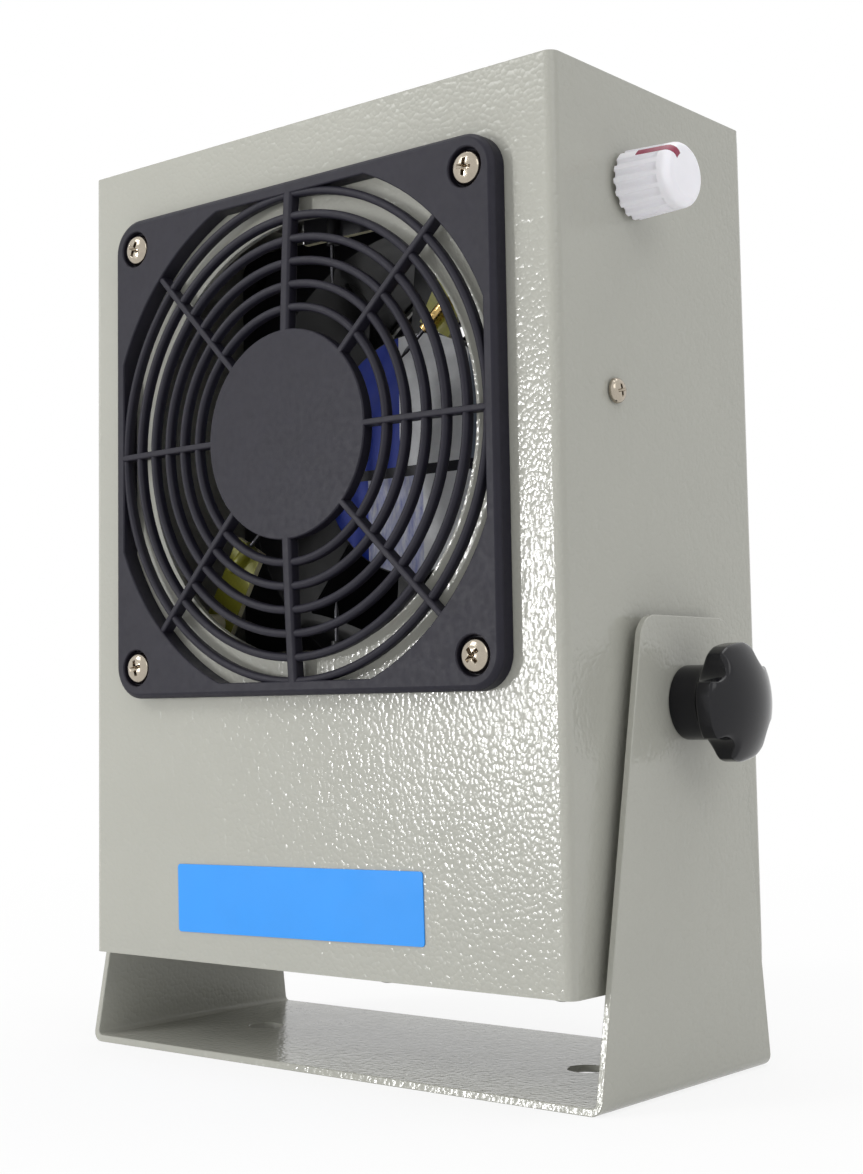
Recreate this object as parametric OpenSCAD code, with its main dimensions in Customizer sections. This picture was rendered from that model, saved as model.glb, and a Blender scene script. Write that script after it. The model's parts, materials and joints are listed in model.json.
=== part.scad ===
// Ionizing blower: a bench fan that blows ionized air, in a tilting U bracket.
// Millimetres. X points right, Y to the back, Z up. The origin is the centre of
// the bracket's underside.

/* [Housing] */
// Width of the housing
body_w = 146; // [143:1:170]
// Height of the housing
body_h = 198; // [194:1:240]
// Depth of the housing
body_d = 80; // [78:1:110]
// Thickness of the housing's sheet steel
sheet = 1.2; // [1:0.1:1.6]
// Outside radius of the housing's bends
bend_r = 2.4; // [2:0.1:4]
// Gap between the fan's frame and the flanges that the sides turn inwards
flange_gap = 1.2; // [1:0.1:3]
// Depth of the lips along the front edges of the top and bottom plates
lip_h = 9; // [6:0.5:12]
// Height of the housing's underside above the bench
body_lift = 23; // [20:0.5:40]
// Radius of the round outlet in the front panel
outlet_r = 51.3; // [48:0.1:52]

/* [Bracket] */
// Thickness of the bracket's steel
bracket_t = 1.6; // [1.4:0.1:2]
// Depth of the bracket's floor
bracket_d = 69.6; // [60:0.2:80]
// Outside radius of the bracket's bends
bracket_r = 2.8; // [2.2:0.1:4]
// Width of an arm at its top
arm_top_w = 36.8; // [32:0.2:46]
// Height of an arm above the pivot
arm_over = 19; // [15:0.2:22]
// Distance of an arm's middle behind the pivot
arm_back = 1; // [0:0.1:2]
// Corner radius at the top of an arm
arm_r = 6; // [4:0.5:10]
// Height of the pivot above the bench
pivot_h = 83; // [82:1:110]
// Depth of the pivot behind the front panel
pivot_back = 40.4; // [38:0.2:44]
// Distance of the pivot behind the middle of the bracket's floor
pivot_y = 2.6; // [0:0.2:6]
// Distance between the two holes in the floor
floor_pitch = 100; // [80:1:110]
// Diameter of the holes in the floor
floor_hole_d = 8.8; // [6:0.2:10]

/* [Clamps] */
// Diameter of the clamp studs
stud_d = 6; // [5:0.5:6.5]
// Thickness of the pivot washers
washer_t = 2.5; // [2:0.1:4]
// Diameter of the pivot washers
washer_d = 24; // [20:1:30]
// Thickness of the weld nuts behind the sides
pivot_nut_t = 6; // [5:0.5:8]
// Distance across the lobes of a clamp knob
knob_d = 26.6; // [25:0.2:30]
// Length of a clamp knob along its stud
knob_h = 17.4; // [16:0.2:20]
// Diameter of a knob's collar
collar_d = 16.4; // [15:0.2:18]
// Length of a knob's collar
collar_h = 6.8; // [5:0.1:8]
// Rise of a knob's domed face
dome_h = 5; // [3:0.1:6]
// Angle of a knob's front lobe below level
knob_turn = 9; // [0:1:45]
// Number of lobes on a knob
lobes = 4; // [4:1:6]

/* [Finger guards] */
// How far a guard reaches past the fan's frame on each side
guard_over = 0.5; // [0:0.1:1]
// Thickness of a guard's frame
guard_t = 4.5; // [4.3:0.1:6]
// Corner radius of a guard
guard_r = 8; // [6:0.5:10]
// Bevel round a guard's outer edge
guard_bevel = 1; // [0.5:0.1:1.5]
// Distance of a guard's screws from its edges
guard_screw_in = 7.5; // [7.4:0.1:7.6]
// Width of a guard's frame at the middle of its sides
guard_rim = 3.2; // [2.5:0.1:4]
// How far a guard's opening reaches past the duct towards its corners
guard_open = 4.5; // [3:0.1:6]
// Radius of a guard's centre disc
disc_r = 24.4; // [20:0.2:26]
// Radius of the middle of the innermost ring
ring_first = 29.6; // [28:0.2:31]
// Number of rings
ring_count = 6; // [5:1:6]
// Width of a ring
ring_w = 1.9; // [1.5:0.1:2.4]
// Depth of a ring from its crest to its back
ring_h = 2.8; // [2.2:0.1:3]
// Rise of the grille's middle above the frame
grille_rise = 2; // [0:0.1:3]
// Height of the spokes' backs above the panel
grille_back = 1.2; // [0.4:0.1:1.4]
// Width of the upright spokes
wide_spoke = 2.8; // [2.2:0.1:3.4]
// Width of the other spokes
thin_spoke = 1.5; // [1.2:0.1:2]
// Distance of a guard's top edge below the top of the housing
guard_drop = 15; // [12:0.5:20]

/* [Fan] */
// Depth of the fan frame
fan_d = 38; // [38:0.5:40]
// Radius of the fan's duct
duct_r = 57; // [56:0.1:57.4]
// Thickness of the fan's frame at the middle of its sides
duct_wall = 2.5; // [2.2:0.1:3]
// Running gap between the blade tips and the duct
tip_gap = 1.4; // [0.8:0.1:2]
// Radius of the fan's motor plate
motor_r = 30.5; // [28:0.5:32]
// Radius of the rotor's hub
hub_r = 29; // [26:0.5:31]
// Diameter of the fan shaft
shaft_d = 4; // [3:0.1:5]
// Number of blades
blades = 7; // [5:1:7]
// Thickness of a blade
blade_t = 1; // [0.8:0.1:1.4]
// Pitch of the blades from the plane of the fan
blade_angle = 36; // [28:1:40]

/* [Ionizer] */
// Depth of the emitter boards behind the front panel's face
board_back = 12.5; // [10:0.5:16]
// Width of an emitter board
board_w = 9.6; // [8:0.2:10]
// Length of an emitter board
board_len = 38; // [34:0.5:40]
// Thickness of an emitter board
board_t = 1.6; // [1.2:0.2:2]
// Distance of the slanted boards' inner ends from the fan's axis
slant_r = 37.7; // [36:0.1:40]
// Height of the level boards' inner edges from the fan's axis
level_z = 49.3; // [49:0.1:50]
// Distance of the level boards' inner ends past the fan's centre line
level_x = 10.4; // [8:0.2:12]
// Diameter of an emitter needle
needle_d = 1; // [0.8:0.1:1.4]
// Length of an emitter needle out of its socket
needle_len = 10; // [6:0.5:12]

/* [Dial] */
// Diameter of the dial at its base
dial_d = 15.4; // [15:0.2:18]
// Diameter of the dial at its cap
cap_d = 14.4; // [13.8:0.2:15]
// Length of the dial
dial_h = 14; // [12:0.5:16]
// Number of flutes round the dial
flutes = 16; // [14:1:18]
// Distance of the dial below the top of the housing
dial_drop = 24; // [18:0.5:30]
// Distance of the dial behind the front panel's face
dial_back = 28.3; // [24:0.1:30]
// Angle of the pointer from straight up, towards the front
dial_rest = 45; // [0:1:150]

/* [Front label and side screw] */
// Width of the label
label_w = 76.7; // [60:0.1:90]
// Height of the label
label_h = 16.1; // [12:0.1:20]
// Distance of the label's lower edge above the housing's underside
label_up = 7.6; // [5:0.1:12]
// Distance of the label's middle left of the centre line
label_left = 3.8; // [0:0.1:8]
// Distance of the side screw behind the front panel's face
side_screw_back = 20.7; // [16:0.1:30]
// Height of the side screw above the fan's axis
side_screw_up = 4.3; // [0:0.1:20]

/* [Mains inlet and inner parts] */
// Width of the inlet's flange
inlet_w = 50; // [48:1:56]
// Height of the inlet's flange
inlet_h = 36; // [34.5:0.5:40]
// Distance between the inlet's screws
inlet_pitch = 40; // [39:0.5:42]
// Distance of the inlet's middle left of the centre line
inlet_left = 34; // [33:0.5:35]
// Height of the inlet's middle above the housing's underside
inlet_up = 24; // [21:0.5:34]
// Size of the high-voltage module along X
hv_w = 50; // [40:1:54]
// Size of the high-voltage module along Y
hv_d = 30; // [24:1:34]
// Height of the high-voltage module
hv_h = 34; // [24:1:40]
// Width of the control board
pcb_w = 56; // [50:1:60]
// Depth of the control board
pcb_d = 56; // [50:1:62]
// Height of the standoffs under the control board
standoff_h = 8; // [6:0.5:12]

/* [Hidden] */

$fn = 48;
e = 0.01;

// Clearances
face_gap = 0.1;       // between flat faces that turn past each other
turn_gap = 0.05;      // radial, round a pin or shaft that turns
thread_gap = 0.05;    // radial, between a thread and its nut
hole_gap = 0.2;       // radial, round a screw in a plain hole
cover_gap = 0.4;      // between the cover's plates and the shell

// Sides of the fan and of its guards, and where their screws are
fan_w = 2 * (duct_r + duct_wall);
guard_w = fan_w + 2 * guard_over;
guard_at = guard_w / 2 - guard_screw_in;
guard_flat = guard_w / 2 - guard_rim;
guard_round = duct_r + guard_open;

// Planes and heights of the housing
front_y = pivot_y - pivot_back;
rear_y = front_y + body_d;
side_x = body_w / 2;
inner_x = side_x - sheet;
inner_front = front_y + sheet;
inner_rear = rear_y - sheet;
base_z = body_lift;
top_z = base_z + body_h;
floor_z = base_z + sheet;
fan_z = top_z - guard_drop - guard_w / 2;
fan_front = inner_rear - fan_d;

// Faces of the bracket's arms
arm_in = side_x + washer_t + face_gap;
arm_out = arm_in + bracket_t;
arm_top = pivot_h + arm_over;

// Screws: thread, head diameter, head height, nut across flats, nut height
m3 = [3, 5.6, 2.1, 5.5, 2.4];
m4 = [4, 7.8, 2.6, 7, 3.2];

ring_pitch = (guard_flat - ring_first) / (ring_count - 1);
recess_d = m4[1] + 1.8;
recess_t = 2;

flange_w = side_x - fan_w / 2 - flange_gap;
cover_x = (side_x + guard_w / 2) / 2;
cover_zs = [base_z + 12, base_z + body_h / 2, top_z - 12];

dial_x = side_x + 1;
dial_y = front_y + dial_back;
dial_z = top_z - dial_drop;
bush_d = 7;
bush_out = 3.6;
pot_d = 17;
pot_h = 9;
dial_skin = 0.6;
pot_shaft_d = 6;
flute_r = 0.8;
flute_from = 16;
pointer_w = 1.9;
pointer_in = 2.6;
label_t = 0.3;

side_screw_y = front_y + side_screw_back;
side_screw_z = fan_z + side_screw_up;
tag_t = 0.8;

inlet_x = -inlet_left;
inlet_z = base_z + inlet_up;
inlet_body_w = 28;
inlet_body_h = 31;
inlet_body_d = 24;
inlet_flange = 2.4;
socket_w = 24.4;
socket_h = 16.4;
socket_d = 17;
socket_up = 5.2;
drawer_w = 21;
drawer_h = 8;
drawer_up = -9.4;
drawer_gap = 0.2;
pin = [2, 4];
pin_back = 14;
pin_short = 4;
fuse_d = 5;
fuse_len = 15;
fuse_up = 4;

hv_x = -inner_x + 8 + hv_w / 2;
hv_y = inner_front + 6 + hv_d / 2;
hv_ear = 7;
hv_ear_t = 3;
pcb_x = inner_x - 5 - pcb_w / 2;
pcb_y = inner_front + 6 + pcb_d / 2;
pcb_z = floor_z + standoff_h;
pcb_t = 1.6;
pcb_edge = 4;
transformer = [24, 20, 22];
capacitor_d = 10;
capacitor_h = 18;
heat_sink = [4, 24, 20];
terminal_ways = 4;
terminal_pitch = 5;
terminal_d = 8;
terminal_h = 10;

post_d = 5;
peg_d = 3;
post_at = [22, 31];
socket_len = 9;
socket_r = 1.3;
slant_turn = 216.4;
slant_way = 240;
slant_shift = 0.7;

fan_plate = 4.5;
motor_plate = 3;
bearing_d = 8;
bearing_t = 4;
stator_h = 24;

pivot_nut_across = 1.6 * stud_d;
knob_cap = 4;
hollow_out = 0.9;

// ---------- helpers ----------

// Turns a piece drawn upwards in Z so that it points to the front, back, right or left
module to_front() rotate([90, 0, 0]) children();
module to_back() rotate([90, 0, 180]) children();
module to_right() rotate([90, 0, 90]) children();
module to_left() rotate([90, 0, -90]) children();

module at_corners(x, y) for (sx = [-1, 1], sy = [-1, 1]) translate([sx * x, sy * y]) children();

// A rectangle with round corners, centred
module round_rect(w, h, r) {
    square([w - 2 * r, h], center = true);
    square([w, h - 2 * r], center = true);
    at_corners(w / 2 - r, h / 2 - r) circle(r);
}

// A pan-head screw, head upwards from z = 0, with a cross recess
module screw(size, len) {
    d = size[1];
    h = size[2];
    crown = d * 0.9;
    difference() {
        intersection() {
            cylinder(d = d, h = h);
            translate([0, 0, h - crown]) sphere(crown);
        }
        for (a = [0, 90]) rotate(a)
            translate([-d * 0.28, -d * 0.07, h * 0.45]) cube([d * 0.56, d * 0.14, h]);
    }
    translate([0, 0, -len]) cylinder(d = size[0], h = len);
}

// A hexagon nut, upwards from z = 0
module nut(size) {
    linear_extrude(size[4]) difference() {
        circle(d = size[3] / cos(30), $fn = 6);
        circle(d = size[0] + 2 * thread_gap);
    }
}

// ---------- bracket ----------

// Side outline of an arm: Y along X, Z along Y. Its edges lean in from the floor up to
// tangent round corners. Its top is a little behind the middle of the floor.
module arm_outline() {
    half = bracket_d / 2;
    top = arm_top_w / 2;
    mid = pivot_y + arm_back;
    function lean(s) = atan((half - top - s * mid) / arm_top);
    function corner(s) = [mid + s * (top - arm_r * tan((90 - lean(s)) / 2)), arm_top - arm_r];
    function touch(s) = corner(s) + arm_r * [s * cos(lean(s)), sin(lean(s))];
    polygon([[-half, 0], [half, 0], touch(1), [corner(1)[0], arm_top], [corner(-1)[0], arm_top],
        touch(-1)]);
    for (s = [-1, 1]) translate(corner(s)) circle(arm_r);
}

// Front outline of the U: floor, bends and arms
module u_outline() {
    inner_r = bracket_r - bracket_t;
    difference() {
        union() {
            translate([-arm_out, bracket_r]) square([2 * arm_out, arm_top]);
            translate([-arm_out + bracket_r, 0]) square([2 * (arm_out - bracket_r), arm_top]);
            for (s = [-1, 1]) translate([s * (arm_out - bracket_r), bracket_r]) circle(bracket_r);
        }
        translate([-arm_in, bracket_r]) square([2 * arm_in, arm_top + 1]);
        translate([-arm_in + inner_r, bracket_t]) square([2 * (arm_in - inner_r), arm_top + 1]);
        for (s = [-1, 1]) translate([s * (arm_in - inner_r), bracket_r]) circle(inner_r);
    }
}

module bracket() {
    color([0.70, 0.71, 0.66]) difference() {
        intersection() {
            translate([0, bracket_d / 2, 0]) to_front() linear_extrude(bracket_d) u_outline();
            translate([-arm_out, 0, 0]) to_right() linear_extrude(2 * arm_out) arm_outline();
        }
        for (s = [-1, 1]) translate([s * floor_pitch / 2, 0, -1])
            cylinder(d = floor_hole_d, h = bracket_t + 2);
        translate([-arm_out - 1, pivot_y, pivot_h]) to_right()
            cylinder(d = stud_d + 2 * turn_gap, h = 2 * arm_out + 2);
    }
}

// ---------- housing ----------

// Plan of the shell: front panel, two sides and the flanges they turn inwards
module shell_plan() {
    depth = body_d - sheet;
    translate([0, front_y + depth / 2]) difference() {
        round_rect(body_w, depth, bend_r);
        round_rect(body_w - 2 * sheet, depth - 2 * sheet, bend_r - sheet);
        translate([-side_x + flange_w, 0]) square([body_w - 2 * flange_w, depth]);
    }
}

module front_shell() {
    notch = sheet + cover_gap + bend_r;
    color([0.70, 0.71, 0.66]) difference() {
        translate([0, 0, base_z]) linear_extrude(body_h) shell_plan();
        // notches that let the cover's plates past the flanges
        for (z = [base_z - 1, top_z - notch])
            translate([-inner_x, inner_rear - bend_r, z]) cube([2 * inner_x, 2 * bend_r, notch + 1]);
        translate([0, front_y - 1, fan_z]) to_back() cylinder(r = outlet_r, h = sheet + 2, $fn = 96);
        translate([0, front_y - 1, fan_z]) to_back() at_corners(guard_at, guard_at)
            cylinder(r = m4[0] / 2 + hole_gap, h = sheet + 2);
        translate([-side_x - 1, pivot_y, pivot_h]) to_right()
            cylinder(d = stud_d + 2 * turn_gap, h = body_w + 2);
        translate([inner_x - 1, dial_y, dial_z]) to_right()
            cylinder(d = bush_d + 0.2, h = sheet + 2);
        translate([inner_x - 1, side_screw_y, side_screw_z]) to_right()
            cylinder(r = m3[0] / 2 + hole_gap, h = sheet + 2);
        at_cover_screws() translate([0, 0, -3 * sheet]) cylinder(r = m3[0] / 2 + thread_gap, h = 4 * sheet);
    }
}

// Places of the screws that hold the cover, drawn towards the back
module at_cover_screws() for (s = [-1, 1], z = cover_zs) translate([s * cover_x, rear_y, z])
    to_back() children();

module rear_cover() {
    plate_w = body_w - 2 * sheet - 2 * cover_gap;
    plate_d = rear_y - inner_front - 0.5;
    relief = bend_r + cover_gap;
    color([0.70, 0.71, 0.66]) difference() {
        union() {
            // top plate, back and bottom plate, bent from one sheet, with lips at the front
            translate([-plate_w / 2, rear_y - plate_d / 2, base_z + body_h / 2]) to_right()
                linear_extrude(plate_w) difference() {
                    round_rect(plate_d, body_h, bend_r);
                    round_rect(plate_d - 2 * sheet, body_h - 2 * sheet, bend_r - sheet);
                    translate([-plate_d / 2 - 1, -body_h / 2 + lip_h])
                        square([sheet + 2, body_h - 2 * lip_h]);
                }
            // the back, which lies on the flanges and stops where the sides start to bend
            translate([0, inner_rear, base_z + body_h / 2]) to_back()
                linear_extrude(sheet) square([body_w - 2 * bend_r, body_h - 2 * relief], center = true);
        }
        translate([0, inner_rear - 1, fan_z]) to_back() {
            cylinder(r = duct_r - 1, h = sheet + 2, $fn = 96);
            at_corners(guard_at, guard_at) cylinder(r = m4[0] / 2 + hole_gap, h = sheet + 2);
        }
        translate([inlet_x, inner_rear - 1, inlet_z]) to_back() {
            translate([0, 0, sheet / 2 + 1])
                cube([inlet_body_w + 0.4, inlet_body_h + 0.4, sheet + 2], center = true);
            for (s = [-1, 1]) translate([s * inlet_pitch / 2, 0])
                cylinder(r = m3[0] / 2 + hole_gap, h = sheet + 2);
        }
        at_cover_screws() translate([0, 0, -2 * sheet]) cylinder(r = m3[0] / 2 + hole_gap, h = 4 * sheet);
        at_hv_ears() translate([0, 0, -sheet - 1]) cylinder(r = m3[0] / 2 + hole_gap, h = sheet + 2);
        at_pcb_corners() translate([0, 0, -sheet - 1]) cylinder(r = m3[0] / 2 + hole_gap, h = sheet + 2);
    }
}

module cover_screws() color("silver") at_cover_screws() screw(m3, 2 * sheet + 2);

module label_plate() {
    color([0.25, 0.62, 1])
        translate([-label_left, front_y, base_z + label_up + label_h / 2]) to_front()
            linear_extrude(label_t) round_rect(label_w, label_h, 0.8);
}

// ---------- finger guards ----------

// One moulded guard, drawn upwards from its back face
module finger_guard() {
    spoke_from = disc_r - 1;
    difference() {
        union() {
            difference() {
                hull() {
                    linear_extrude(guard_t - guard_bevel) round_rect(guard_w, guard_w, guard_r, $fn = 32);
                    linear_extrude(guard_t) round_rect(guard_w - 2 * guard_bevel,
                        guard_w - 2 * guard_bevel, guard_r - guard_bevel, $fn = 32);
                }
                translate([0, 0, -1]) linear_extrude(guard_t + 2) intersection() {
                    circle(guard_round, $fn = 96);
                    square(2 * guard_flat, center = true);
                }
            }
            for (i = [0 : ring_count - 1]) guard_ring(ring_first + i * ring_pitch);
            for (a = [90, 270]) guard_spoke(a, wide_spoke, spoke_from, guard_flat + 1);
            for (a = [0, 180]) guard_spoke(a, thin_spoke, spoke_from, guard_flat + 1);
            for (a = [45 : 90 : 315]) guard_spoke(a, thin_spoke, spoke_from, guard_round + 1);
            rotate_extrude($fn = 96) grille_section(0, disc_r);
        }
        at_corners(guard_at, guard_at) {
            translate([0, 0, -1]) cylinder(r = m4[0] / 2 + hole_gap, h = guard_t + 2);
            translate([0, 0, guard_t - recess_t]) cylinder(d = recess_d, h = recess_t + 1);
        }
    }
}

// Height of the domed grille above the panel at radius r
function grille_h(r) = guard_t + grille_rise * (1 - pow(r / guard_flat, 2));

// Radial section of the grille between two radii
module grille_section(from, to) {
    steps = 6;
    polygon(concat([[to, grille_back], [from, grille_back]],
        [for (i = [0 : steps]) let (r = from + (to - from) * i / steps) [r, grille_h(r)]]));
}

// A ring with a half-round crest, a little below the spokes
module guard_ring(r) {
    crest = grille_h(r) - 0.3;
    rotate_extrude($fn = 96) translate([r, crest - ring_w / 2]) {
        translate([-ring_w / 2, ring_w / 2 - ring_h]) square([ring_w, ring_h - ring_w / 2]);
        circle(d = ring_w, $fn = 24);
    }
}

module guard_spoke(a, w, from, to) {
    rotate(a) translate([0, w / 2, 0]) to_front() linear_extrude(w) grille_section(from, to);
}

module front_guard() {
    color([0.26, 0.26, 0.28]) translate([0, front_y, fan_z]) to_front() finger_guard();
}

module rear_guard() {
    color([0.26, 0.26, 0.28]) translate([0, rear_y, fan_z]) to_back() finger_guard();
}

module guard_screws() {
    color("silver") translate([0, front_y - guard_t + recess_t, fan_z]) to_front()
        at_corners(guard_at, guard_at) screw(m4, guard_t - recess_t + sheet + m4[4] + 1);
}

module guard_nuts() {
    color("silver") translate([0, inner_front, fan_z]) to_back()
        at_corners(guard_at, guard_at) nut(m4);
}

// ---------- earth point on the right side ----------

module earth_screw() {
    color("silver") translate([side_x, side_screw_y, side_screw_z]) to_right()
        screw(m3, sheet + tag_t + m3[4] + 1);
}

module earth_tag() {
    color("gold") translate([inner_x - tag_t, side_screw_y, side_screw_z]) to_right()
        linear_extrude(tag_t) difference() {
            union() {
                circle(4);
                translate([-1.6, -14]) square([3.2, 14]);
            }
            circle(d = m3[0] + 2 * hole_gap);
        }
}

module earth_nut() {
    color("silver") translate([inner_x - tag_t, side_screw_y, side_screw_z]) to_left() nut(m3);
}

// ---------- pivots and clamp knobs ----------

module pivot_washers() {
    color([0.12, 0.12, 0.12]) for (s = [-1, 1]) translate([s * side_x, pivot_y, pivot_h])
        rotate([0, s * 90, 0]) linear_extrude(washer_t) difference() {
            circle(d = washer_d);
            circle(d = stud_d + 2 * turn_gap);
        }
}

module pivot_nuts() {
    color("silver") for (s = [-1, 1]) translate([s * inner_x, pivot_y, pivot_h]) rotate([0, -s * 90, 0])
        linear_extrude(pivot_nut_t) difference() {
            circle(d = pivot_nut_across / cos(30), $fn = 6);
            circle(d = stud_d + 2 * turn_gap);
        }
}

// Outline of a star knob: a circle with a hollow between each two lobes
module star_outline() {
    hollow_r = knob_d * 0.15;
    difference() {
        circle(d = knob_d);
        for (i = [0 : lobes - 1]) rotate((i + 0.5) * 360 / lobes)
            translate([knob_d / 2 + hollow_out, 0]) circle(hollow_r);
    }
}

// A clamp knob, drawn outwards from its collar's face
module clamp_knob() {
    tip_r = knob_d / 2;
    flare_h = collar_h + (tip_r - collar_d / 2) * 0.6;
    dome_r = (tip_r * tip_r + dome_h * dome_h) / (2 * dome_h);
    difference() {
        intersection() {
            rotate_extrude($fn = 96) intersection() {
                polygon([[0, 0], [collar_d / 2 - 0.4, 0], [collar_d / 2, 0.4], [collar_d / 2, collar_h],
                    [tip_r, flare_h], [tip_r, knob_h], [0, knob_h]]);
                translate([0, knob_h - dome_r]) circle(dome_r, $fn = 96);
            }
            linear_extrude(knob_h + 1) star_outline();
        }
        translate([0, 0, -1]) cylinder(d = stud_d, h = knob_h - knob_cap + 1);
    }
}

module clamp_stud() {
    reach = face_gap + bracket_t + face_gap + washer_t + sheet + pivot_nut_t;
    translate([0, 0, -reach]) cylinder(d = stud_d, h = reach + knob_h - knob_cap);
}

// Places what is on the right or left clamp, with its first lobe to the front and
// turned a little downwards
module at_clamp(s) translate([s * (arm_out + face_gap), pivot_y, pivot_h]) rotate([0, s * 90, 0])
    rotate(-90 + s * knob_turn) children();

module right_knob() color([0.08, 0.08, 0.08]) at_clamp(1) clamp_knob();
module left_knob() color([0.08, 0.08, 0.08]) at_clamp(-1) clamp_knob();
module right_stud() color("silver") at_clamp(1) clamp_stud();
module left_stud() color("silver") at_clamp(-1) clamp_stud();

// ---------- speed dial ----------

module at_dial(x) translate([x, dial_y, dial_z]) to_right() rotate(90 + dial_rest) children();

// Half section of the dial's outside, or of what lies a skin below it
module dial_section(skin) {
    bevel_h = dial_h * 0.86;
    polygon([[0, -e], [dial_d / 2 - skin, -e], [cap_d / 2 - skin, bevel_h],
        [cap_d / 2 - 1.1 - skin, dial_h - skin], [0, dial_h - skin]]);
}

// Space of the pointer line: up the side and over the cap
module pointer_space() {
    intersection() {
        difference() {
            rotate_extrude($fn = 96) dial_section(0);
            rotate_extrude($fn = 96) dial_section(dial_skin);
        }
        translate([cap_d / 2 - pointer_in, -pointer_w / 2, dial_h * 0.34])
            cube([dial_d, pointer_w, dial_h]);
    }
}

module dial() {
    taper = atan((dial_d - cap_d) / 2 / (dial_h * 0.86));
    color("white") at_dial(dial_x) difference() {
        rotate_extrude($fn = 96) dial_section(0);
        // flutes that stop short of the cap and leave a wider rib for the pointer
        for (i = [0 : flutes - 1]) rotate(flute_from + i * (360 - 2 * flute_from) / (flutes - 1))
            translate([dial_d / 2 + 0.25, 0, -1]) rotate([0, -taper, 0])
                cylinder(r = flute_r, h = dial_h * 0.74 + 1);
        pointer_space();
        translate([0, 0, -1]) cylinder(d = 12.8, h = 4.2);
        translate([0, 0, -1]) cylinder(d = pot_shaft_d, h = dial_h - 1.5);
    }
}

module dial_pointer() color([0.55, 0.14, 0.25]) at_dial(dial_x) pointer_space();

module pot_shaft() {
    reach = dial_x - inner_x + pot_h - 2;
    color("silver") at_dial(dial_x) translate([0, 0, -reach])
        cylinder(d = pot_shaft_d, h = reach + dial_h - 2.5);
}

module speed_potentiometer() {
    color([0.2, 0.22, 0.25]) translate([inner_x, dial_y, dial_z]) to_right() difference() {
        union() {
            translate([0, 0, -pot_h]) cylinder(d = pot_d, h = pot_h);
            cylinder(d = bush_d, h = sheet + bush_out);
            for (i = [-1 : 1]) translate([i * 5 - 0.6, -pot_d / 2 - 5, -pot_h + 1]) cube([1.2, 7, 0.8]);
        }
        translate([0, 0, -pot_h + 1.5]) cylinder(d = pot_shaft_d + 2 * turn_gap,
            h = pot_h + sheet + bush_out);
    }
}

module pot_nut() {
    color("silver") translate([side_x, dial_y, dial_z]) to_right() linear_extrude(2.2) difference() {
        circle(d = 11.4, $fn = 6);
        circle(d = bush_d + 2 * thread_gap);
    }
}

// ---------- fan ----------

module at_fan() translate([0, fan_front, fan_z]) to_back() children();

module fan_frame() {
    strut_w = 6;
    color([0.10, 0.10, 0.11]) at_fan() difference() {
        union() {
            difference() {
                union() {
                    for (z = [0, fan_d - fan_plate]) translate([0, 0, z])
                        linear_extrude(fan_plate) round_rect(fan_w, fan_w, 6);
                    cylinder(r = duct_r + 2, h = fan_d, $fn = 96);
                }
                translate([0, 0, -1]) cylinder(r = duct_r, h = fan_d + 2, $fn = 96);
            }
            // the motor plate and the struts that carry it
            linear_extrude(motor_plate) intersection() {
                circle(duct_r + 1, $fn = 96);
                union() {
                    circle(motor_r, $fn = 96);
                    for (a = [5 : 90 : 275]) rotate(a) translate([0, -strut_w / 2])
                        square([duct_r + 3, strut_w]);
                }
            }
        }
        at_corners(guard_at, guard_at) translate([0, 0, -1])
            cylinder(r = m4[0] / 2 + hole_gap, h = fan_d + 2);
    }
}

module fan_label() {
    color([0.85, 0.87, 0.9]) translate([0, fan_front, fan_z]) to_front()
        cylinder(r = motor_r - 0.5, h = label_t, $fn = 96);
}

module fan_stator() {
    color([0.45, 0.35, 0.2]) at_fan() translate([0, 0, motor_plate]) difference() {
        union() {
            cylinder(r = bearing_d / 2 + 3, h = stator_h);
            translate([0, 0, 4]) linear_extrude(stator_h - 8) difference() {
                circle(hub_r - 4, $fn = 96);
                for (i = [0 : 15]) rotate(i * 22.5) translate([hub_r - 10, -1]) square([8, 2]);
            }
        }
        translate([0, 0, -1]) cylinder(r = shaft_d / 2 + 0.8, h = stator_h + 2);
        for (z = [-e, stator_h - bearing_t]) translate([0, 0, z])
            cylinder(d = bearing_d, h = bearing_t + e);
    }
}

module fan_bearings() {
    color("goldenrod") at_fan() for (z = [0, stator_h - bearing_t])
        translate([0, 0, motor_plate + z])
            linear_extrude(bearing_t) difference() {
                circle(d = bearing_d);
                circle(d = shaft_d + 2 * turn_gap);
            }
}

module fan_shaft() color("silver") at_fan() translate([0, 0, motor_plate + 0.5])
    cylinder(d = shaft_d, h = fan_d - motor_plate - 5.5);

// One blade: a piece of a thin curved sheet, cut off at the hub and at the tips
module blade() {
    arc_r = 34;
    rotate([0, 90, 0]) rotate(blade_angle) translate([0, -arc_r + 3, hub_r - 1]) linear_extrude(duct_r)
        intersection() {
            difference() {
                circle(arc_r + blade_t / 2, $fn = 96);
                circle(arc_r - blade_t / 2, $fn = 96);
            }
            translate([-16, 0]) square([32, arc_r * 2]);
        }
}

module fan_rotor() {
    cup_from = 5;
    cup_to = fan_d - 4;
    color([0.13, 0.13, 0.14]) at_fan() difference() {
        union() {
            translate([0, 0, cup_from]) cylinder(r = hub_r, h = cup_to - cup_from, $fn = 96);
            intersection() {
                translate([0, 0, (cup_from + cup_to) / 2])
                    for (i = [0 : blades - 1]) rotate(i * 360 / blades) blade();
                translate([0, 0, cup_from + 1]) linear_extrude(cup_to - cup_from - 2) difference() {
                    circle(duct_r - tip_gap, $fn = 96);
                    circle(hub_r - 1, $fn = 96);
                }
            }
        }
        translate([0, 0, cup_from - 1]) cylinder(r = hub_r - 2, h = cup_to - cup_from - 1, $fn = 96);
        translate([0, 0, cup_to - 3]) cylinder(d = shaft_d, h = 4);
    }
}

module fan_screws() {
    color("silver") translate([0, rear_y + guard_t - recess_t, fan_z]) to_back()
        at_corners(guard_at, guard_at) screw(m4, guard_t - recess_t + sheet + fan_plate + m4[4] + 1);
}

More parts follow.
